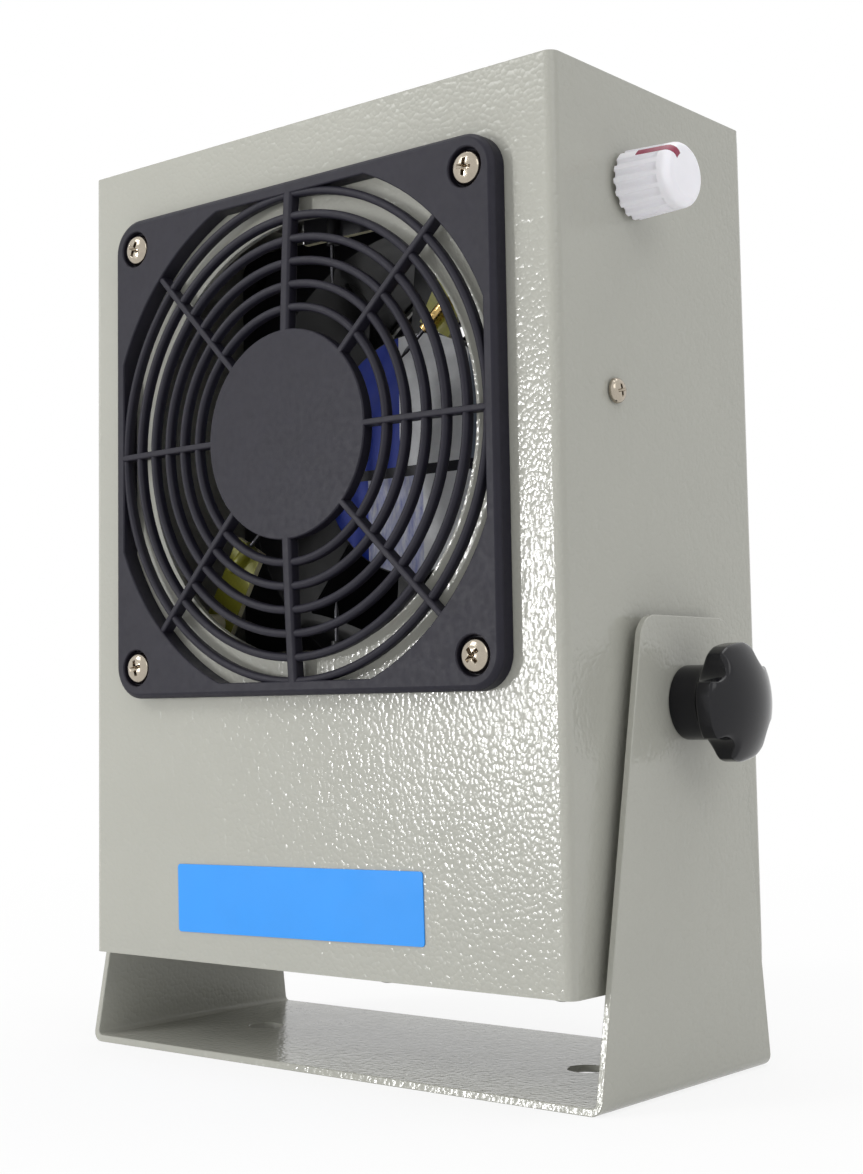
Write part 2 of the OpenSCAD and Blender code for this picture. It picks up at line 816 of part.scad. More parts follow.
module fan_nuts() {
    color("silver") translate([0, inner_rear - fan_plate, fan_z]) to_front()
        at_corners(guard_at, guard_at) nut(m4);
}

// ---------- ionizer ----------

// Places the four emitter boards, each drawn from its inner end along X, in two
// pairs that are half a turn apart
module at_boards() {
    translate([0, front_y + board_back, fan_z]) to_front() for (half = [0, 180]) rotate(half) {
        rotate(slant_turn) translate([slant_r, 0]) rotate(slant_way - slant_turn)
            translate([0, slant_shift]) children();
        translate([-level_x, level_z + board_w / 2]) children();
    }
}

// Places the four sockets, each drawn from its inner end outwards along X
module at_sockets() {
    translate([0, front_y + board_back, fan_z]) to_front() for (half = [0, 180]) rotate(half) {
        rotate(slant_turn + 3) translate([slant_r - 1.5, 0]) children();
        rotate(90) translate([level_z - 2, 0]) children();
    }
}

module emitter_boards() {
    color([0.62, 0.62, 0.16]) at_boards() translate([0, 0, -board_t]) linear_extrude(board_t)
        difference() {
            translate([0, -board_w / 2]) square([board_len, board_w]);
            for (s = post_at) translate([s, 0]) circle(d = peg_d);
        }
}

module board_posts() {
    color("ivory") at_boards() for (s = post_at) translate([s, 0]) {
        cylinder(d = post_d, h = board_back - sheet);
        translate([0, 0, -board_t]) cylinder(d = peg_d, h = board_t);
        translate([0, 0, -board_t - 1.4]) cylinder(d1 = 3.2, d2 = 4.4, h = 1.4);
    }
}

module emitter_sockets() {
    color("gold") at_sockets() difference() {
        union() {
            translate([0, 0, socket_r]) rotate([0, 90, 0]) cylinder(r = socket_r, h = socket_len);
            translate([0, -socket_r, 0]) cube([socket_len, 2 * socket_r, socket_r]);
        }
        translate([-1, 0, socket_r]) rotate([0, 90, 0]) cylinder(d = needle_d, h = 6);
    }
}

module emitter_needles() {
    point = 3;
    color("silver") at_sockets() translate([5, 0, socket_r]) rotate([0, -90, 0]) {
        cylinder(d = needle_d, h = 5 + needle_len - point);
        translate([0, 0, 5 + needle_len - point]) cylinder(d1 = needle_d, d2 = 0.1, h = point);
    }
}

// ---------- inner electrics ----------

module at_hv_ears() for (s = [-1, 1]) translate([hv_x + s * (hv_w / 2 + hv_ear / 2), hv_y, floor_z])
    children();

module hv_module() {
    color([0.08, 0.08, 0.09]) difference() {
        union() {
            translate([hv_x, hv_y, floor_z]) linear_extrude(hv_h) round_rect(hv_w, hv_d, 2);
            at_hv_ears() linear_extrude(hv_ear_t) square([hv_ear + 1, 12], center = true);
        }
        at_hv_ears() translate([0, 0, -1]) cylinder(r = m3[0] / 2 + hole_gap, h = hv_ear_t + 2);
    }
}

module hv_screws() {
    color("silver") at_hv_ears() translate([0, 0, -sheet]) rotate([180, 0, 0])
        screw(m3, sheet + hv_ear_t + m3[4] + 0.6);
}

module hv_nuts() color("silver") at_hv_ears() translate([0, 0, hv_ear_t]) nut(m3);

module at_pcb_corners() translate([pcb_x, pcb_y, floor_z])
    at_corners(pcb_w / 2 - pcb_edge, pcb_d / 2 - pcb_edge) children();

module control_board() {
    color([0.10, 0.40, 0.20]) translate([pcb_x, pcb_y, pcb_z]) linear_extrude(pcb_t) difference() {
        square([pcb_w, pcb_d], center = true);
        at_corners(pcb_w / 2 - pcb_edge, pcb_d / 2 - pcb_edge) circle(r = m3[0] / 2 + hole_gap);
    }
}

module board_standoffs() {
    color("silver") at_pcb_corners() linear_extrude(standoff_h) difference() {
        circle(d = m3[3] / cos(30), $fn = 6);
        circle(d = m3[0] + 2 * thread_gap);
    }
}

module board_screws() {
    color("silver") at_pcb_corners() {
        translate([0, 0, standoff_h + pcb_t]) screw(m3, pcb_t + 3);
        translate([0, 0, -sheet]) rotate([180, 0, 0]) screw(m3, sheet + 3);
    }
}

module board_components() {
    color([0.15, 0.25, 0.55]) translate([pcb_x, pcb_y, pcb_z + pcb_t]) {
        translate([-8, 4, 0]) linear_extrude(transformer[2]) round_rect(transformer[0], transformer[1], 1);
        for (x = [-17, -17 + capacitor_d + 1]) translate([x, -13, 0])
            cylinder(d = capacitor_d, h = capacitor_h);
        translate([14, 6, 0]) linear_extrude(heat_sink[2]) round_rect(heat_sink[0], heat_sink[1], 0.5);
    }
}

module terminal_block() {
    w = terminal_ways * terminal_pitch;
    color([0.2, 0.55, 0.3]) translate([pcb_x + w / 2, pcb_y - pcb_d / 2 + terminal_d, pcb_z + pcb_t])
        difference() {
            translate([-w / 2, -terminal_d / 2, 0]) cube([w, terminal_d, terminal_h]);
            for (i = [0 : terminal_ways - 1]) translate([(i + 0.5) * terminal_pitch - w / 2, 0, 0]) {
                translate([0, 0, 4]) cylinder(d = 3.6, h = terminal_h);
                translate([-1.5, -terminal_d / 2 - 1, 2]) cube([3, 4, 3.6]);
            }
        }
}

// ---------- mains inlet ----------

module at_inlet() translate([inlet_x, rear_y, inlet_z]) to_back() children();

// Outline of the socket: a rectangle with its two upper corners cut off
module socket_outline(w, h) {
    cut = h * 0.3;
    polygon([[-w / 2, -h / 2], [w / 2, -h / 2], [w / 2, h / 2 - cut], [w / 2 - cut, h / 2],
        [-w / 2 + cut, h / 2], [-w / 2, h / 2 - cut]]);
}

module power_inlet() {
    color([0.07, 0.07, 0.07]) at_inlet() difference() {
        union() {
            linear_extrude(inlet_flange) round_rect(inlet_w, inlet_h, 4);
            translate([0, 0, -inlet_body_d / 2]) cube([inlet_body_w, inlet_body_h, inlet_body_d + e],
                center = true);
        }
        translate([0, socket_up, inlet_flange - socket_d]) linear_extrude(socket_d + 1)
            socket_outline(socket_w, socket_h);
        translate([0, drawer_up, inlet_flange - socket_d]) linear_extrude(socket_d + 1)
            square([drawer_w + 2 * drawer_gap, drawer_h + 2 * drawer_gap], center = true);
        at_pins() translate([-pin[0] / 2, -pin[1] / 2, -inlet_body_d])
            cube([pin[0], pin[1], inlet_body_d + 1]);
        for (s = [-1, 1]) translate([s * inlet_pitch / 2, 0, -1])
            cylinder(r = m3[0] / 2 + hole_gap, h = inlet_flange + 2);
    }
}

// Places the three blades of the socket, on its floor
module at_pins() for (p = [[-7, -2], [7, -2], [0, 2]])
    translate([p[0], socket_up + p[1], inlet_flange - socket_d]) children();

module inlet_pins() {
    color("gold") at_inlet() at_pins() translate([-pin[0] / 2, -pin[1] / 2, -pin_back])
        cube([pin[0], pin[1], pin_back + socket_d - pin_short]);
}

module inlet_screws() {
    color("silver") at_inlet() for (s = [-1, 1]) translate([s * inlet_pitch / 2, 0, inlet_flange])
        screw(m3, inlet_flange + sheet + m3[4] + 1);
}

module inlet_nuts() {
    color("silver") at_inlet() for (s = [-1, 1]) translate([s * inlet_pitch / 2, 0, -sheet])
        rotate([180, 0, 0]) nut(m3);
}

module fuse_drawer() {
    color([0.12, 0.12, 0.12]) at_inlet() translate([0, drawer_up, inlet_flange - socket_d]) difference() {
        linear_extrude(socket_d + 0.6) square([drawer_w, drawer_h], center = true);
        translate([-fuse_len / 2, -fuse_d / 2, fuse_up]) cube([fuse_len, drawer_h, fuse_d]);
        translate([-4, -drawer_h, socket_d - 1.4]) cube([8, drawer_h - 2, 3]);
    }
}

module fuse() {
    in = inlet_flange - socket_d + fuse_up + fuse_d / 2;
    color("silver") at_inlet() translate([-fuse_len / 2, drawer_up, in])
        rotate([0, 90, 0]) cylinder(d = fuse_d, h = fuse_len);
}

// ---------- assembly ----------

bracket();
front_shell();
rear_cover();
cover_screws();
front_guard();
guard_screws();
guard_nuts();
label_plate();
earth_screw();
earth_tag();
earth_nut();
pivot_washers();
pivot_nuts();
right_knob();
right_stud();
left_knob();
left_stud();
dial();
dial_pointer();
pot_shaft();
speed_potentiometer();
pot_nut();
fan_frame();
fan_stator();
fan_bearings();
fan_shaft();
fan_rotor();
fan_label();
rear_guard();
fan_screws();
fan_nuts();
emitter_boards();
board_posts();
emitter_sockets();
emitter_needles();
hv_module();
hv_screws();
hv_nuts();
control_board();
board_components();
board_standoffs();
board_screws();
terminal_block();
power_inlet();
inlet_pins();
inlet_screws();
inlet_nuts();
fuse_drawer();
fuse();
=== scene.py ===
"""Finishes an ionizing blower: its shell and bracket, moulded guards, screws, knobs and fan."""

import json
import math

import bmesh
import bpy
import numpy as np
from mathutils import Matrix, Vector

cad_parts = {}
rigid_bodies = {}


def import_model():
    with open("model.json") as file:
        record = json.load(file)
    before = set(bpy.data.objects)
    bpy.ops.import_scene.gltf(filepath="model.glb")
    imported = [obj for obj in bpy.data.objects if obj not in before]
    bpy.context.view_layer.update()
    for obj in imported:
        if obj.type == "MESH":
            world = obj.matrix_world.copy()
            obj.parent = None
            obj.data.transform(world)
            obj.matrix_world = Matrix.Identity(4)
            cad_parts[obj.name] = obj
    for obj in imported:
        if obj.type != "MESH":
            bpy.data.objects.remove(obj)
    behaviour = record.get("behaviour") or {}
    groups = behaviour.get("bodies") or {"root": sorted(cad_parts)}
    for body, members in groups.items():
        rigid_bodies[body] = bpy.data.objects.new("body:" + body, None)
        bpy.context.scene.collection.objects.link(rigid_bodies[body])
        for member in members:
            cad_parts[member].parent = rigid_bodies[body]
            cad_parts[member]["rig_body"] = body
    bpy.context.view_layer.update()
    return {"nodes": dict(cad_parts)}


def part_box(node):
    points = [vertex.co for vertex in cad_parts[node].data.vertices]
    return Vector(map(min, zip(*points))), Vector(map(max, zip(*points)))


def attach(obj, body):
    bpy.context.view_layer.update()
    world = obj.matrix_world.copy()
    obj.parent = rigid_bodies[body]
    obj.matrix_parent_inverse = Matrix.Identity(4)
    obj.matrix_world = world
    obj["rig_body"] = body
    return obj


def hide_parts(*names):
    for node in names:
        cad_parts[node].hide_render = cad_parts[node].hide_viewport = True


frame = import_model()

bl_info = {
    "name": "Ionizing Blower Finish",
    "version": (1, 0, 0),
    "blender": (4, 5, 0),
    "location": "View3D > Sidebar > Blower",
    "description": "Gives an ionizing blower its edges, mouldings, fasteners and finishes",
    "category": "Object",
}

MM = 0.001
PROP_SIZE = dict(unit="LENGTH", subtype="DISTANCE")
PROP_COLOUR = dict(subtype="COLOR", size=4, min=0.0, max=1.0)


# ---------- places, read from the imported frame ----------

def middle(node):
    low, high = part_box(node)
    return (low + high) / 2


FRONT_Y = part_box("front_shell")[0].y
REAR_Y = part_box("rear_cover")[1].y
FAN_Z = middle("front_guard").z
GUARD_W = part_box("front_guard")[1].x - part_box("front_guard")[0].x


# ---------- what a user would change ----------

def size(name, about, mm):
    return bpy.props.FloatProperty(name=name, description=about, default=mm * MM, min=0.0,
                                   precision=5, **PROP_SIZE)


def colour(name, about, r, g, b):
    return bpy.props.FloatVectorProperty(name=name, description=about, default=(r, g, b, 1.0),
                                         **PROP_COLOUR)


class BLOWER_PG_sizes(bpy.types.PropertyGroup):
    sheet_edge: size("Sheet edge", "Rounding of the cut edges of the sheet steel", 0.22)
    moulded_edge: size("Moulded edge", "Rounding of the edges of moulded parts", 0.3)
    guard_t: size("Guard frame", "Thickness of a guard's frame", 4.5)
    guard_r: size("Guard corner", "Corner radius of a guard", 8)
    guard_bevel: size("Guard bevel", "Bevel round a guard's outer edge", 1)
    guard_flat: size("Guard flat", "Half width of a guard's opening between its flats", 56.8)
    guard_round: size("Guard opening", "Radius of a guard's opening in its corners", 61.5)
    guard_at: size("Guard screws", "Distance of a guard's screws from its middle", 52.5)
    disc_r: size("Guard disc", "Radius of a guard's centre disc", 24.4)
    ring_first: size("First ring", "Radius of the innermost ring", 29.6)
    ring_w: size("Ring width", "Width of a ring", 1.9)
    ring_h: size("Ring depth", "Depth of a ring", 2.8)
    grille_rise: size("Grille rise", "Rise of the grille's middle above its frame", 2)
    spoke_h: size("Spoke depth", "Depth of a spoke", 3.4)
    wide_spoke: size("Wide spoke", "Width of the upright spokes", 2.8)
    thin_spoke: size("Thin spoke", "Width of the other spokes", 1.5)
    rings: bpy.props.IntProperty(name="Rings", description="Number of rings", default=6, min=1)
    knob_d: size("Knob", "Distance across the lobes of a clamp knob", 26.6)
    knob_h: size("Knob length", "Length of a clamp knob", 17.4)
    collar_d: size("Knob collar", "Diameter of a knob's collar", 16.4)
    collar_h: size("Collar length", "Length of a knob's collar", 6.8)
    dome_h: size("Knob dome", "Rise of a knob's face", 4.2)
    dial_d: size("Dial", "Diameter of the dial at its base", 15.4)
    cap_d: size("Dial cap", "Diameter of the dial at its cap", 14.4)
    dial_h: size("Dial length", "Length of the dial", 14)
    pointer_w: size("Pointer", "Width of the dial's pointer", 1.9)


class BLOWER_PG_colours(bpy.types.PropertyGroup):
    powder: colour("Powder coat", "Housing and bracket", 0.42, 0.42, 0.375)
    guard: colour("Guards", "Moulded finger guards", 0.0125, 0.0115, 0.0195)
    knob: colour("Knobs", "Clamp knobs", 0.004, 0.004, 0.006)
    dial: colour("Dial", "Moulded speed dial", 0.93, 0.92, 0.97)
    pointer: colour("Pointer", "Painted pointer line", 0.27, 0.018, 0.06)
    label: colour("Label", "Bare label on the front", 0.028, 0.30, 0.86)
    sticker: colour("Fan sticker", "Printed part of the sticker on the motor", 0.004, 0.028, 0.32)
    board: colour("Emitter boards", "Glass laminate of the emitter boards", 0.225, 0.22, 0.022)
    brass: colour("Brass", "Sockets and tags", 0.72, 0.50, 0.20)
    nickel: colour("Nickel", "Plated screws", 0.43, 0.38, 0.31)
    fan: colour("Fan", "Moulded fan frame and rotor", 0.014, 0.014, 0.016)


# ---------- small helpers for node trees ----------

def add(tree, kind, values=(), **props):
    """Adds a node; values maps its input sockets to numbers or to the sockets that feed them."""
    made = tree.nodes.new(kind)
    for key, value in props.items():
        setattr(made, key, value)
    for key, value in dict(values).items():
        if isinstance(value, bpy.types.NodeSocket):
            tree.links.new(value, made.inputs[key])
        else:
            made.inputs[key].default_value = value
    return made


def out(tree, kind, values=(), **props):
    """Adds a node and gives its first output."""
    return add(tree, kind, values, **props).outputs[0]


def maths(tree, operation, *values):
    return out(tree, "ShaderNodeMath", enumerate(values), operation=operation)


def sums(tree):
    """Adding, taking away and multiplying in a tree, as three functions."""
    def of(operation):
        return lambda a, b: maths(tree, operation, a, b)
    return of("ADD"), of("SUBTRACT"), of("MULTIPLY")


def set_input(modifier, name, value):
    """Sets a Geometry Nodes input by its socket's identifier."""
    for item in modifier.node_group.interface.items_tree:
        if item.item_type == "SOCKET" and item.in_out == "INPUT" and item.name == name:
            modifier[item.identifier] = value
            return
    raise RuntimeError(f"the tree has no input named {name}")


def group(name, inputs):
    """A Geometry Nodes tree with a geometry input and output and the inputs given."""
    tree = bpy.data.node_groups.new(name, "GeometryNodeTree")
    face = tree.interface
    face.new_socket("Geometry", in_out="INPUT", socket_type="NodeSocketGeometry")
    for key, kind in inputs.items():
        face.new_socket(key, in_out="INPUT", socket_type="NodeSocket" + kind)
    face.new_socket("Geometry", in_out="OUTPUT", socket_type="NodeSocketGeometry")
    return tree, add(tree, "NodeGroupInput").outputs


def close_group(tree, material, *shapes):
    """Joins the shapes, realizes them, gives them the material and sends them out."""
    whole = add(tree, "GeometryNodeJoinGeometry")
    for shape in shapes:
        tree.links.new(shape, whole.inputs[0])
    geometry = whole.outputs[0]
    real = out(tree, "GeometryNodeRealizeInstances", {"Geometry": geometry})
    dressed = out(tree, "GeometryNodeSetMaterial", {"Geometry": real, "Material": material})
    add(tree, "NodeGroupOutput", {"Geometry": dressed})


# ---------- materials ----------

def noise(tree, where, scale, detail=2.0, rough=0.5):
    return add(tree, "ShaderNodeTexNoise", {"Vector": where, "Scale": scale, "Detail": detail,
                                            "Roughness": rough}).outputs["Fac"]


def spread(tree, fac, low, high):
    """Maps a noise's middle range to low..high."""
    return add(tree, "ShaderNodeMapRange", {"Value": fac, "From Min": 0.3, "From Max": 0.7,
                                            "To Min": low, "To Max": high}).outputs[0]


def shade(rgb, factor):
    return tuple(min(1.0, c * factor) for c in rgb[:3]) + (1.0,)


def mix(tree, fac, a, b):
    return add(tree, "ShaderNodeMix", {0: fac, 6: a, 7: b}, data_type="RGBA").outputs[2]


def surface(name, rgb, rough, metal=0.0, vary=0.06, vary_scale=60.0, rough_vary=0.05,
            grain=((900.0, 2.0, 0.15, 0.05),), specular=0.5, **sockets):
    """A surface with a mottled colour, uneven gloss and one or more layers of fine relief.

    grain lists (scale per metre, detail, strength, depth in mm) of each layer, and sockets
    are further inputs of the shader, with _ for a space. Returns the material, its tree, its
    shader, the object coordinates and the mottled colour.
    """
    mat = bpy.data.materials.new(name)
    mat.use_nodes = True
    tree = mat.node_tree
    tree.nodes.clear()
    where = add(tree, "ShaderNodeTexCoord").outputs["Object"]
    cloud = noise(tree, where, vary_scale, 4.0, 0.6)
    tint = mix(tree, spread(tree, cloud, 0.0, 1.0), shade(rgb, 1 - vary), shade(rgb, 1 + vary))
    gloss = spread(tree, noise(tree, where, vary_scale * 3.1, 3.0), rough - rough_vary,
                   rough + rough_vary)
    normal = None
    for scale, detail, strength, depth in grain:
        values = {"Height": noise(tree, where, scale, detail), "Strength": strength,
                  "Distance": depth * MM}
        if normal:
            values["Normal"] = normal
        normal = add(tree, "ShaderNodeBump", values).outputs[0]
    values = {"Base Color": tint, "Roughness": gloss, "Metallic": metal,
              "Specular IOR Level": specular}
    if normal:
        values["Normal"] = normal
    values.update({key.replace("_", " "): value for key, value in sockets.items()})
    shader = add(tree, "ShaderNodeBsdfPrincipled", values)
    add(tree, "ShaderNodeOutputMaterial", {"Surface": shader.outputs[0]})
    return mat, tree, shader, where, tint


def base_of(made, socket):
    """Feeds a new colour to a surface's base, and returns its material."""
    mat, tree, shader = made[:3]
    tree.links.new(socket, shader.inputs["Base Color"])
    return mat


PEEL_CELLS = 900.0
PEEL_DEPTH = 0.075 * MM
PEEL_WANDER = 0.9 * MM
SWELL_SCALE = 260.0
SWELL_DEPTH = 0.08 * MM


def powder_coat(name, rgb):
    """Glossy powder coat: an orange peel of small round domes over a slow swell."""
    mat, tree, shader, where = surface(name, rgb, 0.15, vary=0.02, vary_scale=22.0,
                                       rough_vary=0.02, grain=(), specular=0.38)[:4]
    drift = add(tree, "ShaderNodeTexNoise", {"Vector": where, "Scale": 420.0, "Detail": 1.0})
    bent = out(tree, "ShaderNodeVectorMath", {0: drift.outputs["Color"], 1: (PEEL_WANDER,) * 3},
               operation="MULTIPLY")
    moved = out(tree, "ShaderNodeVectorMath", {0: where, 1: bent}, operation="ADD")
    cell = add(tree, "ShaderNodeTexVoronoi", {"Vector": moved, "Scale": PEEL_CELLS,
                                              "Smoothness": 0.25},
               feature="SMOOTH_F1").outputs["Distance"]
    dome = maths(tree, "SUBTRACT", 1.0, maths(tree, "MULTIPLY", cell, cell))
    peel = out(tree, "ShaderNodeBump", {"Height": dome, "Strength": 1.0, "Distance": PEEL_DEPTH})
    swell = out(tree, "ShaderNodeBump", {"Height": noise(tree, where, SWELL_SCALE, 1.0),
                                         "Strength": 0.6, "Distance": SWELL_DEPTH,
                                         "Normal": peel})
    tree.links.new(swell, shader.inputs["Normal"])
    return mat


# printed areas of the fan's sticker: their edges from its middle, along X or up
FIELD_RIGHT = -4.3 * MM
LOW_FIELD_RIGHT = -15.0 * MM
BLOCK_RIGHT = 3.0 * MM
STRIP_LEFT = 18.0 * MM
BAND_TOP = -3.0 * MM
BAND_FOOT = -5.6 * MM


def sticker_print(name, rgb, mid):
    """A silver sticker with a solid printed field, a dark band and mottled lower blocks."""
    made = surface(name, (0.72, 0.73, 0.75), 0.36, vary=0.12, vary_scale=160.0, specular=0.2)
    tree, where, tint = made[1], made[3], made[4]
    axes = add(tree, "ShaderNodeSeparateXYZ", {"Vector": where}).outputs
    plus, less, both = sums(tree)

    def left_of(x):
        return maths(tree, "LESS_THAN", axes[0], mid.x + x)

    def under(z):
        return maths(tree, "LESS_THAN", axes[2], mid.z + z)

    upper, lower = less(1.0, under(BAND_TOP)), under(BAND_FOOT)
    band = less(less(1.0, upper), lower)
    field = plus(both(upper, left_of(FIELD_RIGHT)), both(lower, left_of(LOW_FIELD_RIGHT)))
    streaks = out(tree, "ShaderNodeMapping", {"Vector": where, "Rotation": (0, 0.9, 0),
                                              "Scale": (500.0, 1.0, 130.0)})
    mottle = spread(tree, noise(tree, streaks, 1.0, 4.0, 0.7), 0.0, 1.0)
    lilac = mix(tree, mottle, tint, (0.14, 0.17, 0.50, 1.0))
    pale = mix(tree, both(lower, left_of(BLOCK_RIGHT)), tint, lilac)
    pale = mix(tree, less(1.0, left_of(STRIP_LEFT)), pale, (0.17, 0.20, 0.25, 1.0))
    printed = mix(tree, field, pale, rgb)
    return base_of(made, mix(tree, band, printed, (0.012, 0.012, 0.018, 1.0)))


def laminate(name, rgb):
    """Glass laminate, with its weave."""
    made = surface(name, rgb, 0.36, vary=0.08, vary_scale=300.0, grain=((2000.0, 2.0, 0.2, 0.02),))
    tree, where, tint = made[1], made[3], made[4]
    weave = out(tree, "ShaderNodeTexChecker", {"Vector": where, "Scale": 1250.0,
                                               "Color1": shade(rgb, 0.93),
                                               "Color2": shade(rgb, 1.07)})
    return base_of(made, mix(tree, 0.5, tint, weave))


# the name of each finish, its colour or the property that holds it, its gloss and the rest
FINISHES = {
    "guard": ("guard plastic", "guard", 0.50, dict(
        vary=0.10, vary_scale=240.0, specular=0.25,
        grain=((2600.0, 3.0, 0.25, 0.03), (320.0, 2.0, 0.08, 0.06)))),
    "knob": ("knob plastic", "knob", 0.15, dict(
        vary=0.15, rough_vary=0.05, specular=0.35,
        grain=((260.0, 2.0, 0.10, 0.10), (2400.0, 2.0, 0.08, 0.02)))),
    "dial": ("dial plastic", "dial", 0.34, dict(
        vary=0.03, grain=((1800.0, 2.0, 0.12, 0.02),), Subsurface_Weight=0.02,
        Subsurface_Scale=0.001)),
    "pointer": ("pointer paint", "pointer", 0.38, dict(
        vary=0.10, vary_scale=500.0, grain=((2200.0, 2.0, 0.2, 0.02),))),
    "label": ("label film", "label", 0.42, dict(
        vary=0.03, vary_scale=40.0, rough_vary=0.05, specular=0.3,
        grain=((180.0, 1.0, 0.10, 0.10), (3000.0, 2.0, 0.08, 0.01)))),
    "fan": ("fan plastic", "fan", 0.36, dict(
        vary=0.15, grain=((1600.0, 3.0, 0.2, 0.03),), specular=0.3)),
    "steel": ("nickel plate", "nickel", 0.16, dict(
        metal=1.0, vary=0.08, vary_scale=400.0, rough_vary=0.06,
        grain=((1400.0, 3.0, 0.25, 0.03),))),
    "needle": ("tungsten", (0.10, 0.10, 0.11), 0.35, dict(
        metal=1.0, vary=0.15, vary_scale=900.0)),
    "brass": ("brass", "brass", 0.26, dict(
        metal=1.0, vary=0.10, vary_scale=500.0, grain=((1800.0, 3.0, 0.2, 0.02),))),
    "cut": ("cut laminate", (0.66, 0.62, 0.40), 0.55, dict(
        vary=0.10, vary_scale=900.0, grain=((3000.0, 2.0, 0.4, 0.03),))),
    # painted shade: near-black laminate that stands in for the shadow on the level boards' faces
    "dark_board": ("dark laminate", (0.02, 0.02, 0.024), 0.4, dict(vary=0.15, vary_scale=500.0)),
    "nylon": ("ivory nylon", (0.68, 0.64, 0.52), 0.42, dict(vary=0.05)),
    "black_nylon": ("black nylon", (0.016, 0.016, 0.018), 0.45, dict(vary=0.2, vary_scale=500.0)),
    "inlet": ("inlet plastic", (0.014, 0.014, 0.015), 0.38, dict(
        vary=0.15, grain=((1900.0, 3.0, 0.35, 0.03),), specular=0.3)),
    "potting": ("potting resin", (0.012, 0.012, 0.013), 0.25, dict(
        vary=0.2, grain=((300.0, 2.0, 0.2, 0.15),))),
    "green_board": ("solder mask", (0.012, 0.13, 0.045), 0.28, dict(
        vary=0.15, vary_scale=350.0, grain=((900.0, 3.0, 0.3, 0.03),))),
    "component": ("component sleeve", (0.015, 0.045, 0.16), 0.32, dict(
        vary=0.12, vary_scale=250.0)),
    "terminal": ("terminal plastic", (0.03, 0.27, 0.07), 0.38, dict(vary=0.08)),
    "stator": ("stator steel", (0.30, 0.24, 0.16), 0.42, dict(
        metal=0.7, vary=0.2, vary_scale=600.0, grain=((2600.0, 2.0, 0.5, 0.05),))),
    "fuse": ("fuse glass", (0.70, 0.74, 0.74), 0.10, dict(
        vary=0.05, Transmission_Weight=0.35, IOR=1.5)),
}


class Finishes:
    """Every finish once, made when it is first asked for."""

    def __getattr__(self, key):
        colours = bpy.context.scene.blower_colours
        if key == "powder":
            made = powder_coat("powder coat", colours.powder)
        elif key == "sticker":
            made = sticker_print("fan sticker", colours.sticker, middle("fan_label"))
        elif key == "board":
            made = laminate("glass laminate", colours.board)
        else:
            name, rgb, rough, rest = FINISHES[key]
            rgb = getattr(colours, rgb) if isinstance(rgb, str) else rgb
            made = surface(name, rgb, rough, **rest)[0]
        setattr(self, key, made)
        return made


finish = Finishes()


# ---------- mesh helpers ----------

def piece(name, mesh, material=None):
    made = bpy.data.objects.new(name, mesh)
    bpy.context.scene.collection.objects.link(made)
    if material:
        mesh.materials.clear()
        mesh.materials.append(material)
    return made


def smooth(mesh, degrees=35.0):
    mesh.polygons.foreach_set("use_smooth", [True] * len(mesh.polygons))
    mesh.set_sharp_from_angle(angle=math.radians(degrees))


def to_mesh(bm, name):
    mesh = bpy.data.meshes.new(name)
    bm.to_mesh(mesh)
    bm.free()
    return mesh


def closed_mesh(bm, name):
    """The mesh of a closed shape, with its doubles merged and its faces turned outwards."""
    bmesh.ops.remove_doubles(bm, verts=bm.verts, dist=1e-6)
    bmesh.ops.recalc_face_normals(bm, faces=bm.faces)
    return to_mesh(bm, name)


def wall(bm, a, b):
    """Joins two loops of as many vertices by a band of faces."""
    for i in range(len(a)):
        j = (i + 1) % len(a)
        bm.faces.new((a[i], a[j], b[j], b[i]))


def stack(bm, rows, steps):
    """Rings round Z from rows of (radius, or one for each step, and height), joined up."""
    turns = [2 * math.pi * i / steps for i in range(steps)]
    rings = [[bm.verts.new((r * math.cos(a), r * math.sin(a), z))
              for r, a in zip(np.broadcast_to(radii, steps), turns)] for radii, z in rows]
    for a, b in zip(rings, rings[1:]):
        wall(bm, a, b)
    return rings


def stands_for(made, node):
    """Puts a piece on a node's body in the node's stead, and hides the node."""
    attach(made, frame["nodes"][node]["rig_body"])
    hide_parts(node)
    return made


def shape_of(node):
    """A copy of a node's shape with its doubles merged."""
    bm = bmesh.new()
    bm.from_mesh(frame["nodes"][node].data)
    bmesh.ops.remove_doubles(bm, verts=bm.verts, dist=1e-6)
    return bm


def merged(node):
    """A copy of a node's mesh, made of whole faces."""
    bm = shape_of(node)
    bmesh.ops.dissolve_limit(bm, angle_limit=math.radians(0.4), verts=bm.verts, edges=bm.edges)
    return to_mesh(bm, node)


def eased(made, width, degrees=40.0, segments=2):
    """Rounds a piece's sharp edges with live modifiers."""
    if width:
        bevel = made.modifiers.new("edges", "BEVEL")
        bevel.width = width
        bevel.segments = segments
        bevel.limit_method = "ANGLE"
        bevel.angle_limit = math.radians(degrees)
        bevel.harden_normals = False
        bevel.miter_outer = "MITER_ARC"
    weigh = made.modifiers.new("shading", "WEIGHTED_NORMAL")
    weigh.keep_sharp = True
    return made


def dress(node, name, material, width=0.0, degrees=40.0):
    """Replaces a node with a copy that has rounded edges and a finish."""
    mesh = merged(node)
    smooth(mesh, degrees)
    made = eased(piece(name, mesh, material), width, degrees)
    return stands_for(made, node)


def paint(material, *nodes):
    """Gives nodes that keep their own mesh a finish."""
    for node in nodes:
        mesh = frame["nodes"][node].data
        mesh.materials.clear()
        mesh.materials.append(material)


def baked(made):
    """Turns what a Geometry Nodes modifier makes into the object's own plain mesh."""
    shown = made.evaluated_get(bpy.context.evaluated_depsgraph_get())
    mesh = bpy.data.meshes.new_from_object(shown)
    made.modifiers.clear()
    made.data = mesh
    return mesh


# ---------- sheet metal ----------

